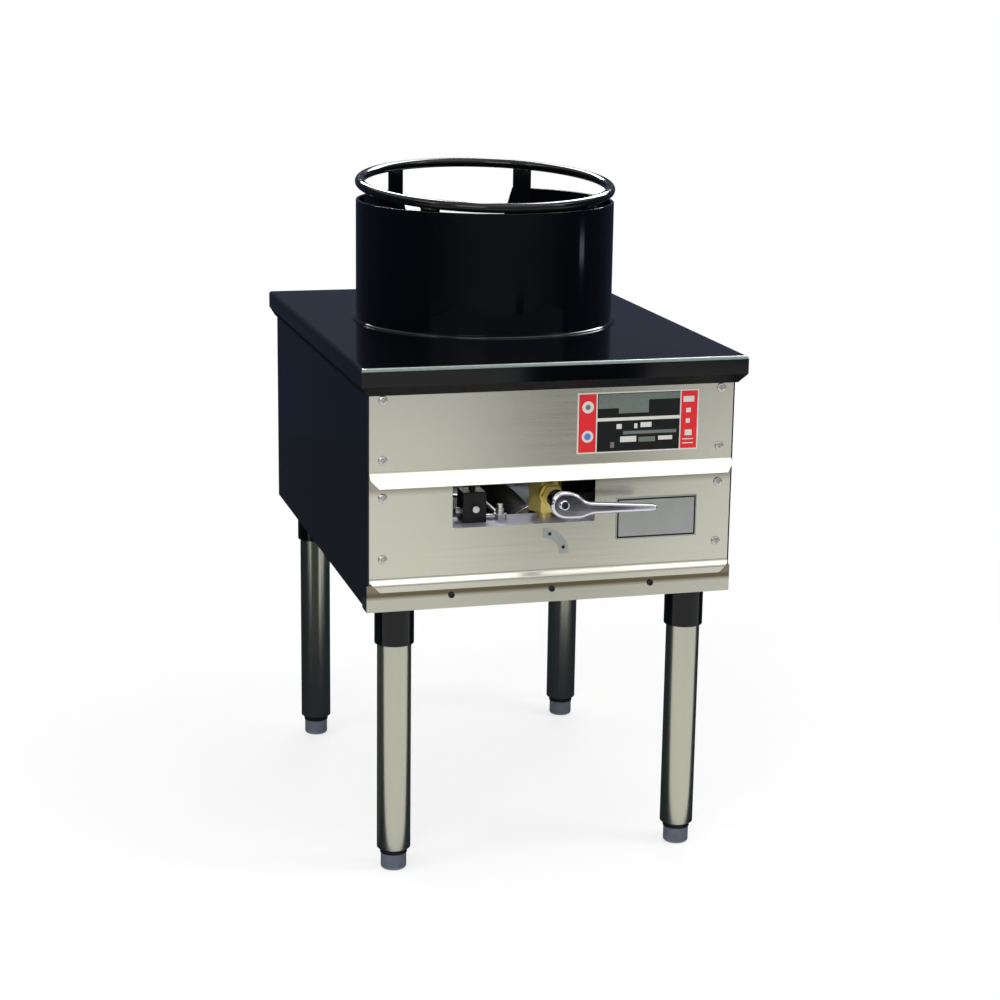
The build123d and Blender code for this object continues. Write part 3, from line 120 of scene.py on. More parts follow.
class WokRangeColours(bpy.types.PropertyGroup):
    enamel: colour("Enamel", "Black enamel of the body and chamber", "#050609")
    # the front bend's pale colour is a painted highlight
    painted_bend_highlight: colour("Bend highlight", "Front bend of the top plate, painted pale as a highlight", "#7F8E88")
    ring: colour("Ring", "Enamel of the ring and its tabs", "#08090B")
    stainless: colour("Stainless", "Brushed front panels", "#CFCEBF")
    tube: colour("Leg tube", "Stainless leg tubes", "#B6B7A7")
    galvanised: colour("Galvanised", "Hidden sheets", "#A9ADAF")
    shelf: colour("Shelf", "Passivated sheet behind the window", "#BAB9CA")
    screw: colour("Screws", "Plain stainless screws", "#C2C1BC")
    badge_red: colour("Badge red", "Red bands of the badge", "#E0101C")
    badge_dark: colour("Badge dark", "Dark field of the badge", "#0C0D0F")
    badge_pale: colour("Badge pale", "Pale marks of the badge", "#D9DAD2")
    badge_grey: colour("Badge grey", "Grey fields of the badge", "#6A756E")
    badge_blue: colour("Badge blue", "Blue spot of the badge", "#5A78C8")
    plate: colour("Bare plate", "Satin aluminium plates", "#A9ACA8")
    pipe: colour("Pipe", "Black steel pipe", "#1B1C1F")
    brass: colour("Brass", "Main valve and jets", "#E0CC78")
    chrome: colour("Chrome", "Polished lever", "#D2D1DA")
    iron: colour("Cast iron", "Burner and mixing tube", "#3B3937")
    anodised: colour("Black anodised", "Pilot valve block", "#0C0D0F")
    bright: colour("Bare aluminium", "Small fittings of the pilot", "#D5D6D4")
    foot: colour("Foot", "Dull plated feet", "#767E8A")
    foot_band: colour("Foot band", "Dark band at the top of each foot", "#23262B")


def sizes():
    return bpy.context.scene.wok_range_sizes


def colours():
    return bpy.context.scene.wok_range_colours


# ---------------------------------------------------------------- node trees


def add_node(tree, kind, settings=None, links=None):
    """Add a shader node, set its properties and inputs by name, and join sources to its inputs."""
    node = tree.nodes.new("ShaderNode" + kind)
    for name, value in (settings or {}).items():
        if isinstance(name, str) and hasattr(node, name):
            setattr(node, name, value)
        else:
            node.inputs[name].default_value = value
    for name, source in (links or {}).items():
        tree.links.new(source, node.inputs[name])
    return node


def bare_tree(owner):
    """The empty node tree of a new material or world."""
    owner.use_nodes = True
    owner.node_tree.nodes.clear()
    return owner.node_tree


def surface(name, base, metallic, roughness, **sockets):
    """A material with one Principled shader, and the shader."""
    material = bpy.data.materials.new(name)
    material.use_nodes = True
    material.diffuse_color = (*base, 1)
    shader = material.node_tree.nodes["Principled BSDF"]
    shader.inputs["Base Color"].default_value = (*base, 1)
    shader.inputs["Metallic"].default_value = metallic
    shader.inputs["Roughness"].default_value = roughness
    for socket, value in sockets.items():
        shader.inputs[socket.replace("_", " ")].default_value = value
    return material, shader


def object_place(tree):
    """Object coordinates."""
    return add_node(tree, "TexCoord").outputs["Object"]


def along_axis(tree, axis, low, high):
    """Share between 0 and 1 that rises from low to high along X, Y or Z."""
    parts = add_node(tree, "SeparateXYZ", links={"Vector": object_place(tree)})
    span = {"From Min": low, "From Max": high}
    return add_node(tree, "MapRange", span, {"Value": parts.outputs[axis]}).outputs["Result"]


def grain(tree, size, **settings):
    """Noise on object coordinates whose features are size millimetres along X, Y and Z."""
    scale = {"Scale": [1 / (s * MM) for s in size]}
    scaled = add_node(tree, "Mapping", scale, {"Vector": object_place(tree)})
    links = {"Vector": scaled.outputs["Vector"]}
    return add_node(tree, "TexNoise", {"Scale": 1.0, **settings}, links)


def ranged(tree, source, low, high, start=0.3, end=0.7):
    """Noise between start and end spread over low to high."""
    settings = {"From Min": start, "From Max": end, "To Min": low, "To Max": high}
    return add_node(tree, "MapRange", settings, {"Value": source}).outputs["Result"]


def blended(tree, factor, first, second):
    """Colour that runs from first to second as factor rises; each is a colour or a node's output."""
    mix = add_node(tree, "Mix", {"data_type": "RGBA"}, {0: factor})
    for socket, value in ((mix.inputs[6], first), (mix.inputs[7], second)):
        if isinstance(value, bpy.types.NodeSocket):
            tree.links.new(value, socket)
        else:
            socket.default_value = (*value, 1)
    return mix.outputs[2]


def height_share(tree, stops):
    """Share between 0 and 1 that follows the height on the range; stops are (millimetres, share)."""
    low, high = stops[0][0] * MM, stops[-1][0] * MM
    ramp = add_node(tree, "ValToRGB", links={"Fac": along_axis(tree, "Z", low, high)})
    marks = ramp.color_ramp.elements
    while len(marks) < len(stops):
        marks.new(0.5)
    for mark, (height, share) in zip(marks, stops):
        mark.position = (height * MM - low) / (high - low)
        mark.color = (share, share, share, 1)
    return ramp.outputs["Color"]


def bumped(tree, shader, source, strength, height):
    """Relief of height millimetres from source."""
    settings = {"Strength": strength, "Distance": height * MM}
    bump = add_node(tree, "Bump", settings, {"Height": source})
    tree.links.new(bump.outputs["Normal"], shader.inputs["Normal"])


def shade(base, share):
    """A colour made darker or lighter by a share."""
    return [min(1.0, c * share) for c in base]


# ---------------------------------------------------------------- materials

finishes = {}


def vitreous_enamel():
    """Black glass enamel fired on sheet steel: deep gloss with a faint orange peel."""
    material, shader = surface("black_vitreous_enamel", colours().enamel, 0, 0.08, Specular_IOR_Level=0.28)
    peel = grain(material.node_tree, (6, 6, 6), Detail=1.0)
    bumped(material.node_tree, shader, peel.outputs["Fac"], 0.1, 0.05)
    return material


def ring_enamel():
    """Black enamel on rod and flat bar, a little rubbed: narrow bright highlights."""
    material, shader = surface("rubbed_black_enamel", colours().ring, 0, 0.12, Specular_IOR_Level=0.3)
    tree = material.node_tree
    wear = grain(tree, (14, 14, 14), Detail=3.0)
    tree.links.new(ranged(tree, wear.outputs["Fac"], 0.08, 0.16), shader.inputs["Roughness"])
    bumped(tree, shader, grain(tree, (3, 3, 3)).outputs["Fac"], 0.1, 0.05)
    return material


# share of red, green and blue kept in the brown painted shade under the flares
SHADE_TINT = (0.2, 0.15, 0.08)


def brushed_steel(name, base, grain_size, low, high, bands=None):
    """Stainless steel brushed one way: reflections drawn out across the grain.

    The real scratches are about 0.1 mm apart; they are drawn about 1 mm apart so that they show.
    Bands are (height, share) stops of painted shade under the flares, tinted brown where the share is low.
    """
    material, shader = surface(name, base, 1, (low + high) / 2)
    tree = material.node_tree
    scratches = grain(tree, grain_size, Detail=4.0, Roughness=0.6).outputs["Fac"]
    tree.links.new(ranged(tree, scratches, low, high), shader.inputs["Roughness"])
    tone = blended(tree, ranged(tree, scratches, 0, 1), shade(base, 0.93), base)
    if bands:
        # painted shade, tinted brown, where the bands are low
        tone = blended(tree, height_share(tree, bands), [c * s for c, s in zip(base, SHADE_TINT)], tone)
    tree.links.new(tone, shader.inputs["Base Color"])
    bumped(tree, shader, scratches, 0.04, 0.02)
    return material


def front_steel(name, share=1.0, bands=None):
    """Brushed sheet of the front, with its scratches along X."""
    return brushed_steel(name, shade(colours().stainless, share), (140, 1, 1), 0.21, 0.25, bands)


# height in millimetres and share of plain steel: brown painted shade under the upper flare on the lower
# panel, and under the lower flare on the channel
LOWER_PANEL_SHADE_BANDS = ((300, 1.0), (486, 1.0), (490, 0.75), (494, 0.5), (500, 0.5))
CHANNEL_SHADE_BANDS = ((344, 1.0), (359, 1.0), (362, 0.5), (364, 0.1), (367, 0.1), (370, 0.3))


def galvanised_sheet():
    """Hot-dip galvanised sheet: dull zinc with spangles of about 10 mm."""
    base = colours().galvanised
    material, shader = surface("galvanised_sheet", base, 0.75, 0.42)
    tree = material.node_tree
    links = {"Vector": object_place(tree)}
    spangle = add_node(tree, "TexVoronoi", {"Scale": 1 / (10 * MM)}, links)
    facet = add_node(tree, "SeparateColor", links={"Color": spangle.outputs["Color"]})
    tone = blended(tree, facet.outputs[0], shade(base, 0.9), shade(base, 1.05))
    tree.links.new(tone, shader.inputs["Base Color"])
    tree.links.new(ranged(tree, facet.outputs[1], 0.36, 0.5, 0, 1), shader.inputs["Roughness"])
    return material


def mottled(name, base, metallic, roughness, size, spread=0.85, relief=0.0, **sockets):
    """One metal or paint with slight patches of size millimetres in its colour and gloss."""
    material, shader = surface(name, base, metallic, roughness, **sockets)
    tree = material.node_tree
    patch = grain(tree, (size, size, size), Detail=3.0).outputs["Fac"]
    tone = blended(tree, ranged(tree, patch, 0, 1), shade(base, spread), base)
    tree.links.new(tone, shader.inputs["Base Color"])
    tree.links.new(ranged(tree, patch, roughness * 0.85, roughness * 1.2), shader.inputs["Roughness"])
    if relief:
        bumped(tree, shader, patch, 0.6, relief)
    return material


def make_finishes():
    """All materials, each under the record's material slot that it stands for."""
    tone = colours()
    finishes.update(
        black_enamel=vitreous_enamel(),
        ring_enamel=ring_enamel(),
        stainless=front_steel("brushed_stainless_sheet"),
        # the lower panel and the channel carry painted shade under the flares; the channel's steel is also
        # darkened to 0.8
        stainless_lower=front_steel("brushed_stainless_lower_panel", bands=LOWER_PANEL_SHADE_BANDS),
        stainless_channel=front_steel("brushed_stainless_channel", 0.8, CHANNEL_SHADE_BANDS),
        stainless_tube=brushed_steel("brushed_stainless_tube", tone.tube, (1, 1, 90), 0.2, 0.26),
        galvanised=galvanised_sheet(),
        # zinc sheet with a bluish passivation, folded into the shelf behind the window
        shelf_zinc=mottled("passivated_zinc_sheet", tone.shelf, 0.35, 0.35, 12, 0.9),
        # enamel dulled by heat and smoke on the underside of the plate's hem
        smoked_enamel=mottled("smoked_enamel", tone.enamel, 0, 0.5, 8, 0.8, Specular_IOR_Level=0.15),
        # pale enamel along the front bend: a painted highlight
        worn_enamel=mottled("worn_enamel", tone.painted_bend_highlight, 0, 0.35, 9, 0.82, Specular_IOR_Level=0.3),
        screw_steel=mottled("cold_headed_stainless", tone.screw, 1, 0.24, 3),
        # screen-printed ink under a thin lacquer on the badge
        badge=mottled("printed_red_ink", tone.badge_red, 0, 0.35, 8, 0.95),
        badge_dark=mottled("printed_black_ink", tone.badge_dark, 0, 0.35, 8, 0.9, Specular_IOR_Level=0.25),
        badge_pale=mottled("printed_pale_ink", tone.badge_pale, 0, 0.4, 8, 0.95),
        badge_grey=mottled("printed_grey_ink", tone.badge_grey, 0, 0.4, 5, 0.85),
        badge_blue=mottled("printed_blue_ink", tone.badge_blue, 0, 0.4, 8, 0.95),
        bare_plate=mottled("satin_aluminium_plate", tone.plate, 1, 0.38, 25, 0.92),
        # steel pipe with mill scale under clear lacquer: nearly black, a little rough
        black_pipe=mottled("lacquered_black_pipe", tone.pipe, 0.2, 0.38, 6, 0.8, 0.12),
        valve_brass=mottled("machined_brass", tone.brass, 0.75, 0.34, 7, 0.86),
        lever_chrome=mottled("polished_chrome_plate", tone.chrome, 1, 0.1, 20, 0.97),
        # sand-cast grey iron: matt with a grain of about 1.5 mm
        burner_iron=mottled("sand_cast_iron", tone.iron, 0.4, 0.62, 1.5, 0.7, 0.25),
        shutter_steel=mottled("plain_steel_sheet", tone.screw, 1, 0.36, 12),
        # dark steel: painted shade on the channel screws in the shadow of the lower flare and in the lever
        # screw's socket, and the dark band at the top of each foot
        blackened=mottled("blackened_steel", tone.foot_band, 0.6, 0.45, 3),
        # black anodised aluminium block, sealed: dull and even
        pilot_black=mottled(
            "black_anodised_aluminium", tone.anodised, 0, 0.42, 4, 0.9, Specular_IOR_Level=0.3
        ),
        pilot_metal=mottled("turned_aluminium", tone.bright, 1, 0.3, 4, 0.92),
        foot_grey=mottled("dull_zinc_plate", tone.foot, 0.35, 0.42, 9, 0.85),
    )


# ---------------------------------------------------------------- shaping


def merged(node):
    """The surface of a CAD node with its points joined."""
    shape = bmesh.new()
    shape.from_mesh(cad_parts[node].data)
    bmesh.ops.remove_doubles(shape, verts=shape.verts, dist=SAME_POINT)
    return shape


def node_copy(node):
    """The joined surface of a CAD node with its flat faces whole."""
    shape = merged(node)
    bmesh.ops.dissolve_limit(
        shape, angle_limit=FLAT, use_dissolve_boundaries=False, verts=shape.verts, edges=shape.edges
    )
    return shape


def soften(shape, width, low=30, high=180, segments=2):
    """Round the edges whose faces meet at low to high degrees."""
    edges = [
        edge
        for edge in shape.edges
        if len(edge.link_faces) == 2 and radians(low) < edge.calc_face_angle() < radians(high)
    ]
    bmesh.ops.bevel(
        shape, geom=edges, offset=width, offset_type="OFFSET", segments=segments, profile=0.5,
        affect="EDGES", clamp_overlap=True, material=-1,
    )


def swept(shape, geometry, angle, steps, rise=0, full=False):
    """Sweep points and edges round Z; a full turn is closed on itself."""
    bmesh.ops.spin(
        shape, geom=geometry, cent=(0, 0, 0), axis=UP, dvec=(0, 0, rise), angle=angle, steps=steps,
        use_merge=full,
    )


def cut(shape, place, direction):
    """Cut a shape's faces along a plane."""
    geometry = shape.verts[:] + shape.edges[:] + shape.faces[:]
    bmesh.ops.bisect_plane(shape, geom=geometry, plane_co=place, plane_no=direction)


def turned(outline, steps=48):
    """A closed outline of (radius, height) points turned about Z."""
    shape = bmesh.new()
    points = [shape.verts.new((radius, 0, height)) for radius, height in outline]
    edges = [shape.edges.new(pair) for pair in zip(points, points[1:])]
    swept(shape, points + edges, 2 * pi, steps, full=True)
    bmesh.ops.remove_doubles(shape, verts=shape.verts, dist=0.002 * MM)
    bmesh.ops.recalc_face_normals(shape, faces=shape.faces)
    return shape


def add_part(shape, part, matrix, material_index=0):
    """Move a part to its place and add it to a shape."""
    bmesh.ops.transform(part, matrix=matrix, verts=part.verts)
    for face in part.faces:
        face.material_index = material_index
    carrier = bpy.data.meshes.new("carrier")
    part.to_mesh(carrier)
    part.free()
    shape.from_mesh(carrier)
    bpy.data.meshes.remove(carrier)


def facing(direction, place):
    """Matrix that points local Z along direction, at place."""
    turn = Vector(direction).to_track_quat("Z", "Y").to_matrix().to_4x4()
    return Matrix.Translation(place) @ turn


def cross_edge(arm, reach, half_width):
    """Distance from the centre to the edge of a cross-shaped recess along a unit vector."""
    across, along = sorted((abs(arm.x), abs(arm.y)))
    if across * reach < half_width * along:
        return reach / along
    return half_width / across


def screw_head(radius, rise):
    """Pan head with a cross recess, standing on Z = 0."""
    sides = [(radius, 0), (radius, 0.35 * rise), (0.9 * radius, 0.75 * rise), (0.62 * radius, rise)]
    head = turned([(0, 0), *sides])
    rim = [edge for edge in head.edges if edge.is_boundary]
    top = bmesh.ops.contextual_create(head, geom=rim)["faces"][0]
    bmesh.ops.inset_region(head, faces=[top], thickness=0.05 * radius, use_even_offset=True)
    for vert in top.verts:
        arm = Vector((vert.co.x, vert.co.y, 0)).normalized()
        vert.co.xy = (arm * cross_edge(arm, 0.5 * radius, 0.13 * radius)).xy
    bmesh.ops.inset_region(
        head, faces=[top], thickness=0.02 * radius, depth=-0.55 * rise, use_even_offset=True
    )
    return head


def make_piece(name, shape, finish, body="chassis", replaces=(), extra=()):
    """Turn a finished bmesh into a piece of the range that rides on a body."""
    for face in shape.faces:
        face.smooth = True
    for edge in shape.edges:
        edge.smooth = len(edge.link_faces) == 2 and edge.calc_face_angle() < CREASE
    mesh = bpy.data.meshes.new(name)
    shape.to_mesh(mesh)
    shape.free()
    for each in (finish, *extra):
        mesh.materials.append(finishes[each])
    piece = bpy.data.objects.new(name, mesh)
    bpy.context.collection.objects.link(piece)
    weighted = piece.modifiers.new("Weighted normals", "WEIGHTED_NORMAL")
    weighted.keep_sharp = True
    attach(piece, body)
    if replaces:
        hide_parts(*replaces)
    return piece


def rounded_piece(node, finish, width, name=None, body="chassis", segments=2):
    """A CAD node's own form with its edges broken."""
    shape = node_copy(node)
    soften(shape, width, segments=segments)
    return make_piece(name or node + "_form", shape, finish, body, (node,))


def island_boxes(node):
    """Low and high corner of each separate body in a CAD node."""
    shape = merged(node)
    boxes, seen = [], set()
    for seed in shape.verts:
        if seed.index in seen:
            continue
        island, queue = [], [seed]
        seen.add(seed.index)
        while queue:
            vert = queue.pop()
            island.append(vert.co.copy())
            for edge in vert.link_edges:
                other = edge.other_vert(vert)
                if other.index not in seen:
                    seen.add(other.index)
                    queue.append(other)
        low = Vector([min(c[i] for c in island) for i in range(3)])
        high = Vector([max(c[i] for c in island) for i in range(3)])
        boxes.append((low, high))
    shape.free()
    return boxes


# ---------------------------------------------------------------- stage


def stage_sheet(name, shape, material):
    """A flat piece of the studio."""
    mesh = bpy.data.meshes.new(name)
    shape.to_mesh(mesh)
    shape.free()
    mesh.materials.append(material)
    sheet = bpy.data.objects.new(name, mesh)
    bpy.context.collection.objects.link(sheet)
    return sheet


def seen_directly(tree):
    """1 for camera, glossy and transmission rays, 0 for the rest."""
    path = add_node(tree, "LightPath").outputs
    seen = path["Is Camera Ray"]
    for ray in ("Is Glossy Ray", "Is Transmission Ray"):
        links = {0: seen, 1: path[ray]}
        seen = add_node(tree, "Math", {"operation": "MAXIMUM"}, links).outputs[0]
    return seen


def floor_material():
    """Pale floor that looks white where it is seen and still takes the range's shadow."""
    material = bpy.data.materials.new("studio_floor")
    tree = bare_tree(material)
    plain = add_node(tree, "BsdfDiffuse", {"Color": (0.8, 0.8, 0.8, 1)})
    near = add_node(tree, "BsdfDiffuse", {"Color": (0.4, 0.4, 0.4, 1)})
    glow = add_node(tree, "Emission", {"Color": (1, 1, 1, 1), "Strength": 0.66})
    far = add_node(tree, "Emission", {"Color": (1, 1, 1, 1), "Strength": 1.0})
    shown = add_node(tree, "AddShader", links={0: near.outputs[0], 1: glow.outputs[0]})
    distance = add_node(tree, "VectorMath", {"operation": "LENGTH"}, {0: object_place(tree)})
    fade = ranged(tree, distance.outputs["Value"], 0, 1, 0.5, 1.6)
    seen = add_node(tree, "MixShader", links={0: fade, 1: shown.outputs[0], 2: far.outputs[0]})
    links = {0: seen_directly(tree), 1: plain.outputs[0], 2: seen.outputs[0]}
    both = add_node(tree, "MixShader", links=links)
    add_node(tree, "OutputMaterial", links={"Surface": both.outputs[0]})
    return material


def flag_material(name, tone, strength, ends=None):
    """Even card, or one that runs to another tone at both ends of the front wall."""
    material = bpy.data.materials.new(name)
    tree = bare_tree(material)
    glow = add_node(tree, "Emission", {"Color": (*linear(tone), 1), "Strength": strength})
    if ends:
        inward = along_axis(tree, "Y", -2.3, -3.9)
        tree.links.new(blended(tree, inward, linear(ends), linear(tone)), glow.inputs["Color"])
    add_node(tree, "OutputMaterial", links={"Surface": glow.outputs[0]})
    return material


def only_reflected(card):
    """Keep a studio card out of sight and out of the light: it is seen only in reflections."""
    for ray in ("camera", "diffuse", "transmission", "volume_scatter", "shadow"):
        setattr(card, "visible_" + ray, False)


def curved_card(name, edge, first_angle, last_angle, material):
    """Card swept round the range from an edge given as (radius, height) points."""
    shape = bmesh.new()
    points = [
        shape.verts.new((radius * cos(radians(first_angle)), radius * sin(radians(first_angle)), height))
        for radius, height in edge
    ]
    line = shape.edges.new(points)
    swept(shape, [*points, line], radians(last_angle - first_angle), 40)
    only_reflected(stage_sheet(name, shape, material))


def flat_card(name, size, place, tilt, material):
    """Flat card of the given size at a place, level at a tilt of 0 and upright at 90 degrees."""
    shape = bmesh.new()
    bmesh.ops.create_grid(shape, x_segments=1, y_segments=1, size=0.5)
    bmesh.ops.scale(shape, vec=(*size, 1), verts=shape.verts)
    turn = Matrix.Rotation(radians(tilt), 3, "X")
    bmesh.ops.rotate(shape, cent=(0, 0, 0), matrix=turn, verts=shape.verts)
    bmesh.ops.translate(shape, vec=place, verts=shape.verts)
    only_reflected(stage_sheet(name, shape, material))


def softbox(name, place, target, width, height, watts):
    """Rectangular lamp that looks at a target."""
    lamp = bpy.data.lights.new(name, "AREA")
    lamp.shape = "RECTANGLE"
    lamp.size, lamp.size_y = width, height
    lamp.energy = watts
    holder = bpy.data.objects.new(name, lamp)
    bpy.context.collection.objects.link(holder)
    holder.location = place
    holder.rotation_mode = "QUATERNION"
    holder.rotation_quaternion = (Vector(target) - Vector(place)).to_track_quat("-Z", "Y")


# lamps: name, place, point that it looks at, width and height in metres, watts
LAMPS = (
    ("overhead_softbox", (0.45, -0.75, 2.4), (0.1, -0.2, 0.5), 1.6, 1.3, 8),
    ("front_softbox", (-1.6, -3.2, 2.2), (0, 0, 0.5), 1.6, 1.6, 32),
    ("left_softbox", (-2.3, -0.9, 2.1), (0, 0, 0.6), 0.9, 0.9, 13),
    ("right_softbox", (2.2, -1.2, 2.1), (0, 0, 0.6), 0.9, 0.9, 13),
    ("rear_softbox", (1.2, 3.2, 2.2), (0, 0, 0.5), 1.8, 1.4, 20),
)
# cards round the range: name, edge as (radius, height), first and last angle, tone, strength, tone of ends;
# walls with a dark foot, dim behind and bright in front, then small ones that draw lines along edges
CURVED_CARDS = (
    ("low_wall", ((2.4, 0.0), (2.4, 0.6)), -32, 208, "#343B4C", 0.8),
    ("high_wall", ((2.4, 0.6), (2.4, 2.1)), -32, 208, "#545C70", 0.75),
    ("front_low_wall", ((4.0, 0.0), (4.0, 0.48)), 202, 334, "#767E88", 0.8, "#343B4C"),
    ("front_high_wall", ((4.0, 0.48), (4.0, 0.9)), 202, 334, "#F0F0E8", 1.3),
    ("front_top_wall", ((4.0, 0.9), (4.0, 2.2)), 202, 334, "#9AA0AC", 1.0),
    ("edge_line", ((2.0, 1.8), (0.8, 2.6)), 72.3, 77.1, "#FFFFFF", 15),
    ("left_base_arc", ((2.0, 1.65), (1.0, 2.5)), 83.7, 102.7, "#FFFFFF", 28),
    ("right_base_arc", ((2.0, 1.65), (1.0, 2.5)), 29.7, 59.7, "#FFFFFF", 28),
    ("collar_streak", ((2.3, 0.44), (2.3, 0.5)), 346, 351.5, "#E8ECFF", 2.2),
)
# flat cards: name, size, place, tilt in degrees, tone, strength
FLAT_CARDS = (
    ("dark_ground", (5.2, 3.0), (0, 1.17, 0.003), 0, "#343B44", 0.8),
    ("band_ground", (0.16, 0.5), (0.41, -1.75, 0.003), 0, "#949490", 1.0),
    ("leg_shade", (0.55, 0.27), (-0.325, -0.2, 0.135), 90, "#4A4C4C", 1.0),
    ("dark_band", (0.26, 0.4), (0.575, -2.0, 0.2), 90, "#181917", 1.0),
)
# camera: place, point that it looks at, roll and focal length in millimetres
CAMERA_PLACE = Vector((-0.7650, -2.7907, 1.1072))
CAMERA_TARGET = Vector((0.0187, 0.0041, 0.39775))
CAMERA_ROLL = radians(0.84)
CAMERA_LENS = 80.04


class WOKRANGE_OT_stage(bpy.types.Operator):
    """Floor, world, lamps, dark cards and the camera"""

    bl_idname = "wok_range.stage"
    bl_label = "Stage"

    def execute(self, context):
        scene = context.scene
        scene.view_settings.view_transform = "Standard"

        floor = bmesh.new()
        bmesh.ops.create_grid(floor, x_segments=1, y_segments=1, size=15)
        bmesh.ops.translate(floor, vec=(0, 0, -0.2 * MM), verts=floor.verts)
        stage_sheet("studio_floor", floor, floor_material())

        world = bpy.data.worlds.new("studio")
        scene.world = world
        tree = bare_tree(world)
        dim = add_node(tree, "Background", {"Color": (1, 1, 1, 1), "Strength": 0.55})
        white = add_node(tree, "Background", {"Color": (1, 1, 1, 1), "Strength": 1.0})
        links = {0: seen_directly(tree), 1: dim.outputs[0], 2: white.outputs[0]}
        both = add_node(tree, "MixShader", links=links)
        add_node(tree, "OutputWorld", links={"Surface": both.outputs[0]})

        for lamp in LAMPS:
            softbox(*lamp)
        for name, edge, first, last, *look in CURVED_CARDS:
            curved_card(name, edge, first, last, flag_material(name + "_card", *look))
        for name, size, place, tilt, *look in FLAT_CARDS:
            flat_card(name, size, place, tilt, flag_material(name + "_card", *look))

        lens = bpy.data.cameras.new("camera")
        lens.lens = CAMERA_LENS
        lens.sensor_width = 36
        camera = bpy.data.objects.new("camera", lens)
        context.collection.objects.link(camera)
        camera.location = CAMERA_PLACE
        camera.rotation_mode = "QUATERNION"
        roll = Matrix.Rotation(CAMERA_ROLL, 4, "Z").to_quaternion()
        view = (CAMERA_TARGET - CAMERA_PLACE).to_track_quat("-Z", "Y")
        camera.rotation_quaternion = view @ roll
        scene.camera = camera
        return {"FINISHED"}


# ---------------------------------------------------------------- pieces


class WOKRANGE_OT_top_plate(bpy.types.Operator):
    """Enamelled top plate with its folded lip and hem"""

    bl_idname = "wok_range.top_plate"
    bl_label = "Top plate"

    def execute(self, context):
        shape = node_copy("top_plate")
        low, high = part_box("top_plate")
        # cuts near the corners keep the shading of the roundings apart
        for place, direction in ((low.x, (1, 0, 0)), (-high.x, (-1, 0, 0)), (low.y, (0, 1, 0))):
            cut(shape, Vector(direction) * (place + 2 * sizes().plate_bend), direction)
        soften(shape, sizes().enamel_edge, 60, segments=3)
        shape.normal_update()
        bend_foot = high.z - sizes().plate_bend
        # faces under the hem get the smoked enamel; the front faces of the bend get the pale painted
        # highlight
        for face in shape.faces:
            faces_front = face.normal.y < -0.1 and face.normal.z > 0.05
            if face.normal.z < -0.2:
                face.material_index = 1
            elif faces_front and face.calc_center_median().z > bend_foot:
                face.material_index = 2
        worn = ("smoked_enamel", "worn_enamel")
        make_piece("enamelled_top_plate", shape, "black_enamel", replaces=("top_plate",), extra=worn)
        return {"FINISHED"}


class WOKRANGE_OT_chamber(bpy.types.Operator):
    """Chamber collar and the ring round its base"""

    bl_idname = "wok_range.chamber"
    bl_label = "Chamber"

    def execute(self, context):
        rounded_piece("chamber_collar", "black_enamel", sizes().enamel_edge, "enamelled_collar", segments=3)
        low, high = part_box("collar_base_ring")
        centre = (low + high) / 2
        inner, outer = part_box("chamber_collar")[1].x - centre.x, high.x - centre.x
        height = high.z - low.z
        quarter = [radians(angle) for angle in range(0, 91, 9)]
        curve = [(inner + (outer - inner) * sin(angle), height * cos(angle)) for angle in quarter]
        bead = turned([(inner, 0), *curve, (inner, 0)], 144)
        bmesh.ops.translate(bead, vec=(centre.x, centre.y, low.z), verts=bead.verts)
        make_piece("enamelled_base_ring", bead, "black_enamel", replaces=("collar_base_ring",))
        return {"FINISHED"}


class WOKRANGE_OT_wok_ring(bpy.types.Operator):
    """Ring of round rod, its four tabs and the welds between them"""

    bl_idname = "wok_range.wok_ring"
    bl_label = "Wok ring"

    def execute(self, context):
        size = sizes()
        low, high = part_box("wok_ring")
        centre = (low + high) / 2
        tilt = Matrix.Translation(centre) @ Matrix.Rotation(size.ring_tilt, 4, "X")

        rod = bmesh.new()
        section = bmesh.ops.create_circle(rod, segments=24, radius=size.ring_rod)["verts"]
        bmesh.ops.rotate(rod, cent=(0, 0, 0), matrix=Matrix.Rotation(pi / 2, 3, "X"), verts=section)
        bmesh.ops.translate(rod, vec=(size.ring_radius, 0, 0), verts=section)
        swept(rod, rod.verts[:] + rod.edges[:], 2 * pi, size.ring_steps, full=True)
        bmesh.ops.remove_doubles(rod, verts=rod.verts, dist=0.01 * MM)
        bmesh.ops.recalc_face_normals(rod, faces=rod.faces)
        bmesh.ops.transform(rod, matrix=tilt, verts=rod.verts)
        make_piece("ring_rod", rod, "ring_enamel", replaces=("wok_ring",))

        tabs = node_copy("ring_tabs")
        soften(tabs, 0.5 * size.enamel_edge)
        make_piece("ring_tab_plates", tabs, "ring_enamel", replaces=("ring_tabs",))

        beads = bmesh.new()
        for tab_low, tab_high in island_boxes("ring_tabs"):
            arm = (tab_low + tab_high) / 2 - centre
            turn = tilt @ Matrix.Rotation(atan2(arm.y, arm.x), 4, "Z")
            for side in (-1, 1):
                bead = bmesh.new()
                bmesh.ops.create_uvsphere(bead, u_segments=20, v_segments=12, radius=size.weld_bead)
                bmesh.ops.scale(bead, vec=(1, size.weld_length / size.weld_bead / 2, 1), verts=bead.verts)
                place = Vector((size.ring_radius + side * 1.4 * size.weld_bead, 0, -size.ring_rod))
                add_part(beads, bead, turn @ Matrix.Translation(place))
        make_piece("ring_welds", beads, "ring_enamel")
        return {"FINISHED"}


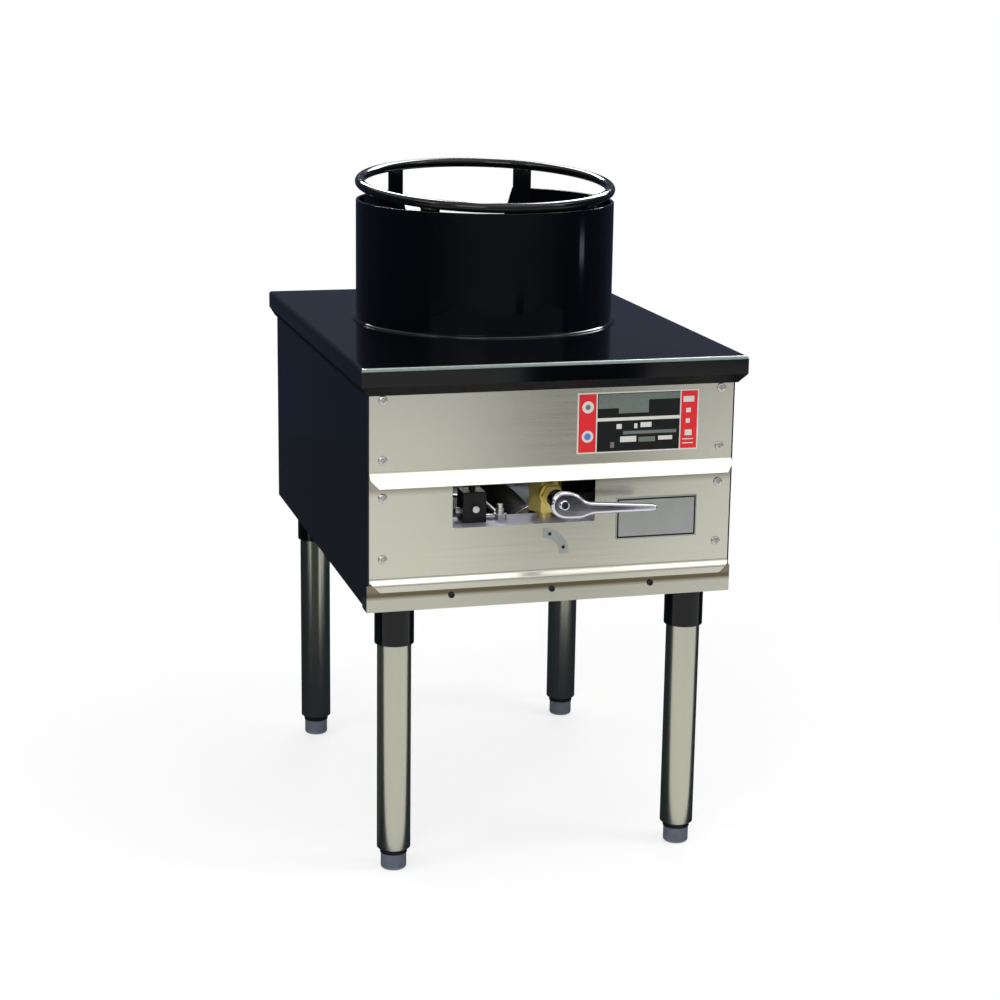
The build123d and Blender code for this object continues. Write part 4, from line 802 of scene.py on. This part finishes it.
class WOKRANGE_OT_body_panels(bpy.types.Operator):
    """Enamelled side panels, the back panel and the sheets inside"""

    bl_idname = "wok_range.body_panels"
    bl_label = "Body panels"

    def execute(self, context):
        edge = sizes().sheet_edge
        for node in ("left_side_panel", "right_side_panel"):
            rounded_piece(node, "black_enamel", edge)
        for node in ("back_panel", "bottom_pan", "front_top_rail", "front_bottom_rail"):
            rounded_piece(node, "galvanised", edge)
        rounded_piece("valve_shelf", "shelf_zinc", edge)
        for node in ("front_post_left", "front_post_right"):
            rounded_piece(node, "galvanised", edge)
        return {"FINISHED"}


class WOKRANGE_OT_front_panels(bpy.types.Operator):
    """Stainless front panels with flared edges, and the channel below them"""

    bl_idname = "wok_range.front_panels"
    bl_label = "Front panels"

    def execute(self, context):
        for node, finish in (("upper_front_panel", "stainless"), ("lower_front_panel", "stainless_lower")):
            shape = node_copy(node)
            soften(shape, sizes().bend_radius, 40, 50, 4)
            soften(shape, sizes().sheet_edge, 60, 180, 2)
            make_piece(node + "_form", shape, finish, replaces=(node,))
        rounded_piece("bottom_front_channel", "stainless_channel", sizes().sheet_edge)
        return {"FINISHED"}


def screw_places(node, facing_side):
    """Centres of the heads in a node of screws that face the cook (-1) or the wall (1)."""
    return [
        Vector(((low.x + high.x) / 2, low.y if facing_side < 0 else high.y, (low.z + high.z) / 2))
        for low, high in island_boxes(node)
    ]


class WOKRANGE_OT_screws(bpy.types.Operator):
    """Screws of the panels and the channel, and the bolts of the sockets and the burner"""

    bl_idname = "wok_range.screws"
    bl_label = "Screws"

    def execute(self, context):
        size = sizes()
        rows = (
            ("upper_panel_screws", -1, "screw_steel", size.screw_head),
            ("lower_panel_screws", -1, "screw_steel", size.screw_head),
            # the channel screws are dark: painted shade under the lower flare
            ("channel_screws", -1, "blackened", size.channel_screw),
            ("back_panel_screws", 1, "screw_steel", size.screw_head),
        )
        for node, side, finish, radius in rows:
            shape = bmesh.new()
            for place in screw_places(node, side):
                seat = place - Vector((0, side * size.screw_rise, 0))
                add_part(shape, screw_head(radius, size.screw_rise), facing((0, side, 0), seat))
            make_piece(node + "_heads", shape, finish, replaces=(node,))
        for node in ("socket_bolts", "burner_bolts", "socket_set_screws"):
            rounded_piece(node, "screw_steel", size.machined_edge)
        return {"FINISHED"}


def cut_plate(node, upright_cuts, level_cuts):
    """Copy of a plate, cut into fields at millimetres from its lower left corner, and that corner."""
    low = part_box(node)[0]
    shape = node_copy(node)
    for offset in upright_cuts:
        cut(shape, (low.x + offset * MM, 0, 0), (1, 0, 0))
    for offset in level_cuts:
        cut(shape, (0, 0, low.z + offset * MM), (0, 0, 1))
    return shape, low


def raised_disc(shape, place, radius, rise, material_index):
    """Thin disc on a plate that faces the cook."""
    disc = turned([(0, 0), (radius, 0), (radius, rise), (0, rise)], 32)
    add_part(shape, disc, facing((0, -1, 0), place), material_index)


def printed_block(shape, corner, field, rise, material_index):
    """Thin rectangle on a plate; field is left, low, right, high in millimetres from the plate's corner."""
    left, low, right, high = (value * MM for value in field)
    block = bmesh.new()
    bmesh.ops.create_cube(block, size=1)
    bmesh.ops.scale(block, vec=(right - left, rise, high - low), verts=block.verts)
    place = corner + Vector(((left + right) / 2, -rise / 2, (low + high) / 2))
    add_part(shape, block, Matrix.Translation(place), material_index)


# plain fields of the badge: left, low, right, high in millimetres from its lower left corner, and material
BADGE_FIELDS = (
    ((26, 44, 129.5, 72), 4), ((26, 44, 52, 54.5), 1), ((90, 47, 129.5, 64), 1),
    ((52, 44, 129.5, 48), 1), ((49.5, 29, 56, 35), 2), ((72, 29, 76, 35), 2),
    ((80, 30, 94, 36), 2), ((54.5, 12.5, 75, 19.5), 2), ((103, 13.5, 121, 18.5), 2),
    ((42, 6, 47, 13), 4), ((78, 12, 99, 18), 4), ((58, 22, 126, 26), 4),
    ((134, 59, 148, 66), 2), ((138, 46, 144, 51.5), 2), ((138, 33, 143, 38.5), 2),
    ((137, 17.5, 146, 24.5), 2), ((134, 12.5, 148, 13.7), 2), ((134, 7.5, 148, 8.7), 2),
)  # fmt: skip
# round marks of the badge: x, z, radius in millimetres and material
BADGE_SPOTS = ((13, 57, 7.3, 2), (13, 57, 3.2, 4), (13, 21, 7.3, 2), (13, 21, 4.2, 5))


class WOKRANGE_OT_badge(bpy.types.Operator):
    """Badge plate with plain red, dark and pale fields"""

    bl_idname = "wok_range.badge"
    bl_label = "Badge"

    def execute(self, context):
        shape, low = cut_plate("badge_plate", (1.6, 23.5, 25, 130, 131.5, 152.4), (1.6, 39, 43, 72.9))
        front = low.y
        for face in shape.faces:
            point = face.calc_center_median()
            x, z = (point.x - low.x) / MM, (point.z - low.z) / MM
            if abs(point.y - front) > 0.01 * MM or not (1.6 < z < 72.9) or not (1.6 < x < 152.4):
                face.material_index = 2
            elif x < 23.5 or x > 131.5:
                face.material_index = 0
            elif x < 25 or x > 130 or 39 < z < 43:
                face.material_index = 2
            else:
                face.material_index = 1
        for number, (field, ink) in enumerate(BADGE_FIELDS):
            printed_block(shape, low, field, (0.06 + 0.01 * number) * MM, ink)
        for number, (x, z, radius, ink) in enumerate(BADGE_SPOTS):
            raised_disc(shape, low + Vector((x, 0, z)) * MM, radius * MM, (0.1 + 0.03 * number) * MM, ink)
        inks = ("badge_dark", "badge_pale", "bare_plate", "badge_grey", "badge_blue")
        make_piece("badge_fields", shape, "badge", replaces=("badge_plate",), extra=inks)
        return {"FINISHED"}


# marks of the quarter-ring plate: degrees round its corner and distance from it
MARK_ANGLES = (18, 72)
MARK_RADIUS = 27 * MM


class WOKRANGE_OT_small_plates(bpy.types.Operator):
    """Bare data plate and quarter-ring plate under the lever"""

    bl_idname = "wok_range.small_plates"
    bl_label = "Small plates"

    def execute(self, context):
        shape, low = cut_plate("data_plate", (1.5, 3.5, 100.5, 102.5), (1.5, 3.5, 48.5, 50.5))
        for face in shape.faces:
            point = face.calc_center_median()
            x, z = (point.x - low.x) / MM, (point.z - low.z) / MM
            inside_outer = 1.5 < x < 102.5 and 1.5 < z < 50.5
            inside_inner = 3.5 < x < 100.5 and 3.5 < z < 48.5
            face.material_index = 1 if inside_outer and not inside_inner else 0
        make_piece("data_plate_form", shape, "bare_plate", replaces=("data_plate",), extra=("badge_dark",))

        arc = node_copy("arc_plate")
        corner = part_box("arc_plate")[0]
        for angle in MARK_ANGLES:
            place = corner + Vector((cos(radians(angle)), 0, sin(radians(angle)))) * MARK_RADIUS
            raised_disc(arc, place, 2.2 * MM, 0.15 * MM, 1)
        make_piece("quarter_ring_plate", arc, "bare_plate", replaces=("arc_plate",), extra=("badge_dark",))
        return {"FINISHED"}


class WOKRANGE_OT_gas_pipes(bpy.types.Operator):
    """Manifold, its cap, the elbow and the supply pipe"""

    bl_idname = "wok_range.gas_pipes"
    bl_label = "Gas pipes"

    def execute(self, context):
        for node in ("manifold_pipe", "manifold_cap", "supply_elbow", "supply_pipe"):
            rounded_piece(node, "black_pipe", sizes().machined_edge)

        size = sizes()
        low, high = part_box("supply_pipe")
        thread = bmesh.new()
        flank = [
            thread.verts.new((size.thread_radius - drop * size.thread_depth, 0, along * size.thread_pitch))
            for drop, along in ((1, -0.5), (0, 0), (1, 0.5))
        ]
        lines = [thread.edges.new(pair) for pair in zip(flank, flank[1:])]
        turns, steps = size.thread_turns, 24
        swept(thread, flank + lines, 2 * pi * turns, steps * turns, size.thread_pitch / steps)
        start = Vector(((low.x + high.x) / 2, high.y - size.thread_pitch, (low.z + high.z) / 2))
        bmesh.ops.transform(thread, matrix=facing((0, -1, 0), start), verts=thread.verts)
        make_piece("inlet_thread", thread, "black_pipe")
        return {"FINISHED"}


class WOKRANGE_OT_main_valve(bpy.types.Operator):
    """Brass main valve with its bonnet, plug, outlet and orifice hood"""

    bl_idname = "wok_range.main_valve"
    bl_label = "Main valve"

    def execute(self, context):
        for node in ("valve_body", "valve_bonnet", "outlet_elbow", "orifice_hood"):
            rounded_piece(node, "valve_brass", sizes().machined_edge)
        rounded_piece("valve_plug", "valve_brass", sizes().machined_edge, body="main_valve_handle")
        return {"FINISHED"}


# right of the hub, from under it round the tip and back to its top, in millimetres from the valve's axis
LEVER_EDGE = (
    (-5, -15.8), (2, -17.6), (14, -18.2), (23, -17.9), (30, -15.6), (37, -13.8), (70, -13.6), (112, -13.9),
    (116.5, -12.8), (119, -9.4), (116.5, -5.8), (112, -4.4), (70, -1.2), (34, 1.6), (27.5, 3.6), (23, 7.4),
    (18, 11.4), (12, 14.2), (6, 15.6),
)  # fmt: skip


class WOKRANGE_OT_lever(bpy.types.Operator):
    """Polished lever and the screw that holds it"""

    bl_idname = "wok_range.lever"
    bl_label = "Lever"

    def execute(self, context):
        size = sizes()
        low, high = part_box("lever_handle")
        plug_low, plug_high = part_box("valve_plug")
        axis = Vector(((plug_low.x + plug_high.x) / 2, 0, (plug_low.z + plug_high.z) / 2))
        front, back = low.y, low.y + size.lever_thickness

        bar = bmesh.new()
        arc = [radians(angle) for angle in range(90, 241, 10)]
        outline = [(size.lever_hub * cos(angle), size.lever_hub * sin(angle)) for angle in arc]
        outline += [(x * MM, z * MM) for x, z in LEVER_EDGE]
        corners = [bar.verts.new((axis.x + x, back, axis.z + z)) for x, z in outline]
        blank = bar.faces.new(corners)
        grown = bmesh.ops.extrude_face_region(bar, geom=[blank])["geom"]
        moved = [item for item in grown if isinstance(item, bmesh.types.BMVert)]
        bmesh.ops.translate(bar, vec=(0, front - back, 0), verts=moved)
        bmesh.ops.recalc_face_normals(bar, faces=bar.faces)
        soften(bar, size.lever_round, 60, 180, 6)

        radius, depth = size.lever_boss, high.y - back
        boss = turned([(0, 0), (radius, 0), (radius, depth), (0, depth)], 40)
        soften(boss, size.machined_edge)
        add_part(bar, boss, facing((0, 1, 0), (axis.x, back - 0.5 * MM, axis.z)))
        make_piece("forged_lever", bar, "lever_chrome", "main_valve_handle", ("lever_handle",))

        head = size.cap_screw
        sides = [(head, 0), (head, 2 * MM), (head - 0.8 * MM, 2.9 * MM), (head - 1.8 * MM, 3 * MM)]
        screw = turned([(0, 0), *sides], 40)
        rim = [edge for edge in screw.edges if edge.is_boundary]
        socket = bmesh.ops.contextual_create(screw, geom=rim)["faces"][0]
        walls = bmesh.ops.inset_region(
            screw, faces=[socket], thickness=0.3 * MM, depth=-2 * MM, use_even_offset=True
        )["faces"]
        place = facing((0, -1, 0), (axis.x, front, axis.z))
        bmesh.ops.transform(screw, matrix=place, verts=screw.verts)
        # the socket and its walls take the dark finish: painted shade in the recess
        for face in (socket, *walls):
            face.material_index = 1
        body = "main_valve_handle"
        make_piece("lever_cap_screw", screw, "lever_chrome", body, ("lever_screw",), extra=("blackened",))
        return {"FINISHED"}


class WOKRANGE_OT_pilot(bpy.types.Operator):
    """Pilot valve block, its button and adjuster, the tube and the pilot burner"""

    bl_idname = "wok_range.pilot"
    bl_label = "Pilot"

    def execute(self, context):
        edge = sizes().machined_edge
        rounded_piece("pilot_valve_body", "pilot_black", 0.6 * MM)
        for node in ("pilot_side_nut", "pilot_adjuster_body", "pilot_tube", "pilot_burner"):
            rounded_piece(node, "pilot_metal", edge)
        rounded_piece("pilot_button", "pilot_metal", edge, body="pilot_push_button")
        rounded_piece("pilot_adjuster_screw", "pilot_metal", 0.3 * MM, body="pilot_screw")
        return {"FINISHED"}


class WOKRANGE_OT_burner(bpy.types.Operator):
    """Burner head, its jets, the support bar, the mixing tube and the air shutter"""

    bl_idname = "wok_range.burner"
    bl_label = "Burner"

    def execute(self, context):
        size = sizes()
        rounded_piece("burner_head", "burner_iron", size.cast_edge)
        rounded_piece("burner_jets", "valve_brass", size.machined_edge)
        rounded_piece("burner_support", "galvanised", size.machined_edge)
        rounded_piece("mixing_tube", "burner_iron", size.cast_edge)
        rounded_piece("air_shutter", "shutter_steel", size.sheet_edge, body="air_shutter_disc")
        return {"FINISHED"}


CORNERS = ("front_left", "front_right", "rear_left", "rear_right")


class WOKRANGE_OT_legs(bpy.types.Operator):
    """Leg sockets, leg tubes and the threaded inserts"""

    bl_idname = "wok_range.legs"
    bl_label = "Legs"

    def execute(self, context):
        rounded_piece("leg_sockets", "black_enamel", sizes().machined_edge)
        for corner in CORNERS:
            rounded_piece("leg_" + corner, "stainless_tube", sizes().sheet_edge)
        rounded_piece("leg_inserts", "galvanised", sizes().machined_edge)
        return {"FINISHED"}


class WOKRANGE_OT_feet(bpy.types.Operator):
    """Adjustable feet"""

    bl_idname = "wok_range.feet"
    bl_label = "Feet"

    def execute(self, context):
        for corner in CORNERS:
            node = "foot_" + corner
            shape = node_copy(node)
            soften(shape, sizes().machined_edge)
            for face in shape.faces:
                face.material_index = int(face.calc_center_median().z > sizes().foot_shoulder)
            band = ("blackened",)
            make_piece(node + "_form", shape, "foot_grey", "adjustable_" + node, (node,), extra=band)
        return {"FINISHED"}


PIECES = (
    WOKRANGE_OT_stage,
    WOKRANGE_OT_top_plate,
    WOKRANGE_OT_chamber,
    WOKRANGE_OT_wok_ring,
    WOKRANGE_OT_body_panels,
    WOKRANGE_OT_front_panels,
    WOKRANGE_OT_screws,
    WOKRANGE_OT_badge,
    WOKRANGE_OT_small_plates,
    WOKRANGE_OT_gas_pipes,
    WOKRANGE_OT_main_valve,
    WOKRANGE_OT_lever,
    WOKRANGE_OT_pilot,
    WOKRANGE_OT_burner,
    WOKRANGE_OT_legs,
    WOKRANGE_OT_feet,
)


class WOKRANGE_PT_pieces(bpy.types.Panel):
    """Sizes, colours and pieces of the wok range"""

    bl_label = "Wok range"
    bl_idname = "WOKRANGE_PT_pieces"
    bl_space_type = "VIEW_3D"
    bl_region_type = "UI"
    bl_category = "Wok range"

    def draw(self, context):
        layout = self.layout
        for group in (context.scene.wok_range_sizes, context.scene.wok_range_colours):
            box = layout.box()
            for name in group.__annotations__:
                box.prop(group, name)
        column = layout.column()
        for piece in PIECES:
            column.operator(piece.bl_idname)


CLASSES = (WokRangeSizes, WokRangeColours, *PIECES, WOKRANGE_PT_pieces)


def register():
    for each in CLASSES:
        bpy.utils.register_class(each)
    bpy.types.Scene.wok_range_sizes = PointerProperty(type=WokRangeSizes)
    bpy.types.Scene.wok_range_colours = PointerProperty(type=WokRangeColours)


def unregister():
    del bpy.types.Scene.wok_range_colours
    del bpy.types.Scene.wok_range_sizes
    for each in reversed(CLASSES):
        bpy.utils.unregister_class(each)


def main():
    """Build every piece in order."""
    register()
    make_finishes()
    for piece in PIECES:
        group, name = piece.bl_idname.split(".")
        getattr(getattr(bpy.ops, group), name)()


if __name__ == "__main__":
    main()
